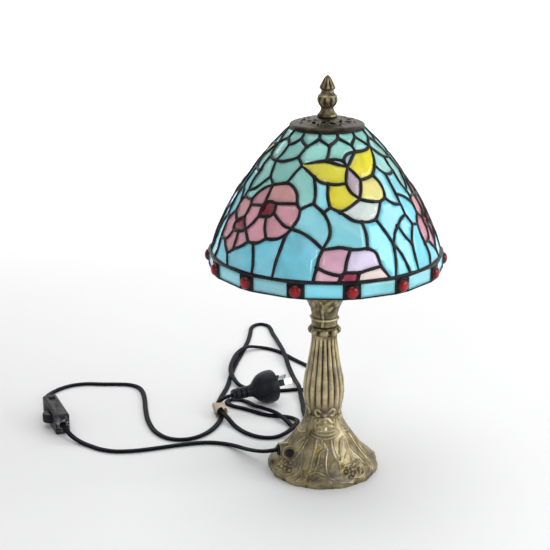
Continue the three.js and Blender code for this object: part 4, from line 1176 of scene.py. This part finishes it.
def make_cap():
    """The pierced cap. Each of its holes has a raised rim."""
    outline = smooth([(29.5, 309.15), (30.9, 309.3), (31.1, 310.2), (29.8, 311.3), (25.4, 312.5), (21, 313.6),
                      (17, 314.5), (12.5, 315.4), (9.6, 316)], 0.8)
    theta, r, _, _ = grid(outline, 192)
    shapes, rims = [], np.zeros(theta.shape)
    for k in range(8):
        for angle, far, size, long, wide, lean in CAP_HOLES:
            angle += 45 * k
            heading = math.radians(angle - 90) + lean
            shapes.append(teardrop(facing(angle) * far, size * long, size * wide, heading))
            near = np.hypot(np.radians(around(theta, angle, 360)) * r, r - far)
            rims += 0.45 * peak(near, size + 0.5, 0.8)
    lift = np.clip(rims, 0, 0.55)
    wear = clamp(0.12 + 0.5 * lift + 0.2 * rough_field(theta, r, r, 7, 2))

    def raise_rims(bm):
        for vert, rise in zip(bm.verts, lift.ravel()):
            vert.co.z += rise

    inner = [(3.2, 316), (3.2, 314.6), (9, 314.4), (16.6, 313.2), (28.4, 310.2)]
    cap = cast("pierced_cap", outline, inner, 0 * lift, wear, "heat_cap", CAP_BRASS, raise_rims, unseen=0.05,
               crease=38, body="shade")
    pierce(cap, shapes, 300, 325)


def make_finial():
    outline = smooth([(4.2, 316.35), (8.1, 316.35), (8.4, 317.2), (8.0, 318.4), (6.4, 320.2), (5.3, 323.2),
                      (5.9, 324.8), (7.4, 326.6), (8.6, 329.4), (8.6, 331.2), (7.7, 333.6), (6.0, 335.6),
                      (5.2, 336.9), (5.4, 338.2), (6.8, 339.9), (6.6, 341.2), (4.9, 344.4), (2.6, 348.4),
                      (0.5, 350.4)], 0.3)
    theta, r, z, _ = grid(outline, 240)
    ball = clamp((z - 325.4) / 1.4) * clamp((332.9 - z) / 0.8)
    tip = clamp((z - 339.6) / 1.2) * clamp((350 - z) / 3)
    gadroon, leaf = fluted(theta, 0, 5) ** 0.6, fluted(theta, 0, 5) ** 0.7
    band = peak(z, 333.6, 0.55)
    out = -1.0 * (1 - gadroon) * ball - 1.1 * (1 - leaf) * tip + 0.35 * band
    wear = clamp(0.27 + (gadroon - 0.75) * ball + 0.9 * (leaf - 0.7) * tip + 0.35 * band
                + 0.3 * rough_field(theta, z, r, 4, 8))
    cast("finial_casting", outline, [(0, 350.5), (0, 322.5), (4.2, 322.5)], out, wear, "finial", unseen=0.3,
         body="finial")


make_foot()
make_column()
make_knuckle()
make_cup()
make_cap()
make_finial()


# ---- Turned parts, harp and bulb ----

PITCH = 2.82  # of the lampholder's and the bulb's screw
HARP_X = 27.2
SADDLE_X, SADDLE_Z = 29.75, 166.05
BULB_R, BULB_Z, BULB_NECK_R = 22.4, 240, 10.6
SPIDER_Z = (305.2, 307.2)


def thread(r, low, high, depth):
    """Outline of a rolled thread, with eight points for each turn."""
    count = round((high - low) / PITCH * 8)
    return [(r - depth * (0.5 - 0.5 * math.cos(math.tau * k / 8)), low + (high - low) * k / count)
            for k in range(count + 1)]


def cut_thread(r, depth, start, step, count):
    """Outline of a fine thread."""
    return [(r - depth * (k % 2), start + step * k) for k in range(count)]


def make_harp():
    side = [(HARP_X, 168), (HARP_X, 181), (29.6, 212), (29.6, 246), (25, 276), (14.5, 294), (5, 300.6)]
    line = [(-x, 0, z) for x, z in side] + [(x, 0, z) for x, z in reversed(side)]
    bm = bmesh.new()
    sweep(bm, spline(line, 2.5), Vector((0, 1, 0)), oval(1.5, 1.5, 16))
    piece("harp_wire", bm, HARP_BRASS, "harp_bow")
    bm = bmesh.new()
    route = rounded([(-SADDLE_X, 178), (-SADDLE_X, SADDLE_Z), (SADDLE_X, SADDLE_Z), (SADDLE_X, 178)], 1.6, 5)
    points = [Vector((x, 0, z)) for x, z in route]
    normals = [(after - before).cross(Vector((0, 1, 0))).normalized()
               for before, after in zip([points[0], *points], [*points[1:], points[-1]])]
    sweep(bm, points, normals, rounded_ring([(6, -0.7), (6, 0.7), (-6, 0.7), (-6, -0.7)], 0.45))
    piece("harp_seat", bm, HARP_BRASS, "harp_saddle")


def make_bulb():
    angles = np.linspace(math.asin(BULB_NECK_R / BULB_R), math.pi, 30)
    line = [(BULB_R * math.sin(a), BULB_Z - BULB_R * math.cos(a)) for a in angles[:-1]]
    neck = smooth([(8.7, 206.1), (8.9, 210), (9.4, 215), line[0], line[1]], 1.2)[:-1]
    outline = [(0, 206.1), *neck, *line, (0, BULB_Z + BULB_R)]
    turned("bulb_globe", outline, OPAL, "bulb_glass", 0.1, 72, body="bulb")


def make_spider():
    """The soldered ring and arms that carry the shade."""
    bm = bmesh.new()
    low, high = SPIDER_Z
    for inner, outer, sides in ((24, 27.6, 96), (3.2, 10.5, 56)):
        ring = [(inner, low), (outer, low), (outer, high), (inner, high)]
        lathe(bm, rounded(ring, 0.4), sides)
    for k in range(3):
        arm = bmesh.new()
        bevelled_box(arm, (9.4, 25.2), (-2.6, 2.6), (low + 0.05, high - 0.05), 0.4)
        arm.transform(rotation(120 * k))
        bm.from_mesh(as_mesh("arm", arm))
    piece("shade_spider", bm, HARP_BRASS, "shade_ring", "shade")


turned("finial_thread", [(2.8, 316.35), (3.8, 316.35), (3.8, 322.2), (2.8, 322.2)], CONTACT_BRASS,
       "finial_insert", sides=32, body="finial_carrier")
make_harp()
for side, x in (("left", -HARP_X), ("right", HARP_X)):
    turned(f"harp_socket_{side}", [(1.5, 167.2), (2.5, 167.2), (2.5, 179), (1.5, 179)], HARP_BRASS, sides=24,
           place=Matrix.Translation((x, 0, 0)))
turned("harp_top", [(0, 303), (6.4, 303), (6.4, 304.9), (2.5, 304.9), *cut_thread(2.5, 0.25, 305.2, 0.45, 36),
                    (2.2, 321.6), (0, 321.8)], HARP_BRASS, "harp_stud", 0.12, 40)
turned("holder_cap", [(5.8, 167.1), (12.6, 167.1), (13.6, 169), (13.6, 173.2), (5.8, 173.2)], HARP_BRASS,
       "lampholder_cap", 0.7)
turned("holder_skirt", [(12.2, 173.5), (13.8, 173.5), (13.8, 177), (13.4, 177.6), (13.8, 178.2), (13.8, 196),
                        (13.2, 206.5), (12.2, 206.5)], PLASTIC, "lampholder_skirt", 0.5)
turned("holder_insulator", [(2.7, 173.6), (11.8, 173.6), (11.8, 180.2), (2.7, 180.2)], PORCELAIN,
       "lampholder_insulator")
turned("holder_thread", [(5.4, 180.5), (11.6, 180.5), (11.6, 181.3), *thread(8.2, 182, 204.5, 0.4),
                         (7.4, 204.5), (7.4, 181.3), (5.4, 181.3)], CONTACT_BRASS, "lampholder_shell", 0.1)
contact = bmesh.new()
bevelled_box(contact, (-4.5, 4.5), (-1.6, 1.6), (180.5, 181.1), 0.2)
piece("holder_contact", contact, CONTACT_BRASS, "lampholder_contact")
turned("bulb_tip", [(0, 181.5), (1.6, 181.6), (2.5, 182.6), (2.5, 183.6), (0, 183.6)], STEEL, "bulb_contact",
       0.6, 32, body="bulb_carrier", slot="lead")
turned("bulb_thread", [(0, 183.9), (3.8, 183.9), (6.4, 187), *thread(6.9, 187.4, 201, 0.55), (6.9, 201.6),
                       (6.9, 205.7), (0, 205.7)], CONTACT_BRASS, "bulb_cap", 0.2, body="bulb")
make_bulb()
turned("felt_disc", [(0, 0), (45.6, 0), (45.6, 1.2), (0, 1.2)], FELT, "base_felt", 0.3, 96)
turned("washer", [(BORE, 36.2), (11, 36.2), (11, 37.7), (BORE, 37.7)], STEEL, "base_washer", 0.2)
turned("nut", [(6.2, 30.5), (9.6, 30.5), (9.6, 35.9), (6.2, 35.9)], STEEL, "base_nut", 0.3, 6)
turned("stack_tube", [(3.4, 29), (4.9, 29), *cut_thread(5, 0.35, 29.5, 0.75, 189), (4.9, 172), (3.4, 172)],
       STEEL, "threaded_tube", 0.1, 32)
turned("mouth_bush", [(3, -6), (3.6, -6), (3.6, 0.3), (4.7, 0.3), (4.7, 1.5), (3, 1.5)], PLASTIC, "cord_bush",
       0.4, 36, MOUTH)
turned("clamp_head", [(0, -3.6), (1.5, -3.6), (1.5, 0.3), (3.9, 0.3), (3.9, 1.6), (2.9, 2.6), (2.1, 2.6),
                      (1.9, 1.7), (0, 1.6)], PLASTIC, "clamp_screw", 0.4, 36, CLAMP)
make_spider()


# ---- In-line switch ----

SWITCH_PLACE = Matrix.Translation((-255.2, 88, 0)) @ rotation(113.6)
SWITCH_X, SWITCH_Y, SWITCH_CORNER = 24.4, 4.6, 2.4  # centres of the corner arcs, and their radius
WHEEL_AT, WHEEL_ROOM, AXLE_ROOM = (-3.6, 6.6), 7.8, 1.9
SCREW_AT, SCREW_ROOM = (14, 0), 3.2


def on_switch(shape):
    return [(SWITCH_PLACE @ Vector((*p, 0))).xy for p in shape]


def switch_half(name, low, high, edge_low, edge_high, node):
    """Half of the moulded body, with rounded outer edges and room for the wheel, its axle and the groove."""
    levels = [(low, edge_low), (low + edge_low * 0.35, edge_low * 0.32), (low + edge_low, 0),
              (high - edge_high, 0), (high - edge_high * 0.35, edge_high * 0.32), (high, edge_high)]
    bm = bmesh.new()
    rings = []
    for z, shrink in levels:
        ring = []
        for x, y, start in ((1, 1, 0), (-1, 1, 90), (-1, -1, 180), (1, -1, 270)):
            for a in np.radians(start + 18 * np.arange(6)):
                reach = SWITCH_CORNER - shrink
                ring.append(bm.verts.new((x * SWITCH_X + reach * math.cos(a),
                                          y * SWITCH_Y + reach * math.sin(a), z)))
        rings.append(ring)
    loft(bm, rings)
    bm.transform(SWITCH_PLACE)
    made = piece(name, bm, SWITCH_PLASTIC, node, crease=50)
    pierce(made, [on_switch(oval(WHEEL_ROOM, WHEEL_ROOM, 40, *WHEEL_AT))], 5, 15)
    pierce(made, [on_switch(oval(AXLE_ROOM, AXLE_ROOM, 16, *WHEEL_AT))], 3, 17)
    pierce(made, [on_switch([(-30, -2.8), (30, -2.8), (30, 2.8), (-30, 2.8)])], 8.3, 11.7)
    if high > 15:
        pierce(made, [on_switch(oval(SCREW_ROOM, SCREW_ROOM, 24, *SCREW_AT))], 17.8, 21)


def make_wheel():
    profile = rounded([(0, 3.5), (1.6, 3.5), (1.6, 5.5), (5.6, 5.5), (6.8, 5.8), (7.3, 6.6), (7.3, 13.4),
                       (6.8, 14.2), (5.6, 14.5), (1.6, 14.5), (1.6, 16.5), (0, 16.5)], 0.01)
    theta, r, _, _ = grid(profile, 216)
    knurl = np.where(r > 6.7, -0.45 * (1 - fluted(theta, 0, 14) ** 0.6), 0)
    bm = bmesh.new()
    turned_into(bm, profile, 216, SWITCH_PLACE @ Matrix.Translation((*WHEEL_AT, 0)), out=knurl)
    piece("thumb_wheel", bm, PLASTIC, "switch_wheel", "switch_wheel", crease=30)


switch_half("switch_lower", 0, 9.85, 1.6, 0.3, "switch_base")
switch_half("switch_upper", 10.15, 20, 0.3, 1.9, "switch_cover")
make_wheel()
screw = turned("switch_fixing", [(0, 3.6), (1.3, 3.6), (1.3, 18.1), (2.8, 18.1), (2.8, 18.9), (2, 19.6),
                                 (0, 19.6)], BLACK_STEEL, "switch_screw", sides=32,
               place=SWITCH_PLACE @ Matrix.Translation((*SCREW_AT, 0)))
pierce(screw, [on_switch([(11.6, -0.4), (16.4, -0.4), (16.4, 0.4), (11.6, 0.4)])], 18.9, 21)


# ---- Plug ----

PLUG_PLACE = Matrix.Translation((-44.3, 143.3, 17)) @ rotation(26) @ rotation(-3, "Y")
PIN_OUT, PIN_UP, PIN_LEAN = 6.85, 3.9, 30
TAIL_END = -26.5
TAIL_SLOTS = [(-43.4, 0), (-40.6, 1), (-37.8, 0), (-35.0, 1), (-32.2, 0), (-29.6, 1)]


def make_plug():
    line = [(4.7, -46), (5.6, -44), (5.9, -36), (5.8, -29), (6.0, -26.6), (7.4, -23.4), (10.4, -20.2),
            (13.6, -16.4), (15.5, -12), (16.3, -8), (16.4, -2.4), (15.9, -0.7), (14.9, 0)]
    tail = [p for p in smooth(line, 0.3) if p[1] < TAIL_END]
    outline = [(0, -46), *tail, *(p for p in smooth(line, 0.6) if p[1] >= TAIL_END), (0, 0)]
    theta, r, z, _ = grid(outline, 96)
    ribs = np.zeros(theta.shape)
    for at, turned_by in TAIL_SLOTS:
        gate = clamp(np.cos(np.radians(theta * 2 + 180 * turned_by + 40)) * 2 + 0.7)
        ribs = np.where(np.abs(z - at) < 0.75, -1.5 * gate * np.exp(-((z - at) / 0.62) ** 6), ribs)
    bm = bmesh.new()
    turned_into(bm, outline, 96, PLUG_PLACE @ rotation(90, "Y"), out=ribs)
    piece("plug_moulding", bm, PLASTIC, "plug_body", crease=50)
    for side, name in ((1, "near"), (-1, "far")):
        spot = PLUG_PLACE @ Matrix.Translation((0, -side * PIN_OUT, PIN_UP)) @ rotation(-side * PIN_LEAN, "X")
        for kind, ends, half_thick, half_width, bevel, finish, node in (
                ("pin", (0.3, 17), 0.8, 3.15, 0.35, STEEL, f"plug_pin_{name}"),
                ("pin_sleeve", (0.1, 8.6), 1.0, 3.3, 0.4, PLASTIC, "")):
            bm = bmesh.new()
            bevelled_box(bm, ends, (-half_thick, half_thick), (-half_width, half_width), bevel)
            bm.transform(spot)
            piece(f"{kind}_{name}", bm, finish, node)


make_plug()


# ---- Tape tie ----

TIE_PLACE = Matrix.Translation((-97.2, 109, 5.25)) @ rotation(15.4)
TIE_X, TIE_Z, TIE_SQUARE = 4.9, 4.7, 0.62
TAPE_THICK = 0.35


def tape_band(name, turn, half_width, lift, seed, node=""):
    """One turn of creased tape round both stretches of flex, slanted across them."""
    bm = bmesh.new()
    grain = bm.verts.layers.float_vector.new("grain")
    steps, across = 72, 14
    rows = []
    for cos, sin in oval(1, 1, steps):
        x, z = squared(cos, TIE_SQUARE) * (TIE_X + lift), squared(sin, TIE_SQUARE) * (TIE_Z + lift * 0.4)
        wave = 1 + 0.1 * math.sin(5 * math.tau * len(rows) / steps + seed)
        slant = math.tan(turn) * x * math.copysign(1, sin + 1e-6)
        row = []
        for j in range(across + 1):
            t = j / across * 2 - 1
            point = Vector((x, slant + t * half_width * wave, z))
            crease = noise.noise(Vector((x * 0.8, point.y * 0.55, z * 0.8 + seed))) * 0.55
            crease += noise.noise(Vector((x * 2, point.y * 1.6, z * 2 + seed))) * 0.25
            vert = bm.verts.new(point + Vector((x, 0, z)).normalized() * max(crease + 0.1, -0.25))
            vert[grain] = point * MM
            row.append(vert)
        rows.append(row)
    for a, b in zip(rows, rows[1:] + rows[:1]):
        for j in range(across):
            bm.faces.new((a[j], a[j + 1], b[j + 1], b[j]))
    bmesh.ops.solidify(bm, geom=bm.faces[:], thickness=TAPE_THICK)
    bm.transform(TIE_PLACE)
    piece(name, bm, TAPE, node, crease=60)


tape_band("tape_turn_1", math.radians(34), 5.4, 0.5, 3.0, "cord_tie")
tape_band("tape_turn_2", math.radians(-36), 5.2, 1.0, 8.0)
tape_band("tape_turn_3", 0.05, 4.6, 0.75, 14.0)
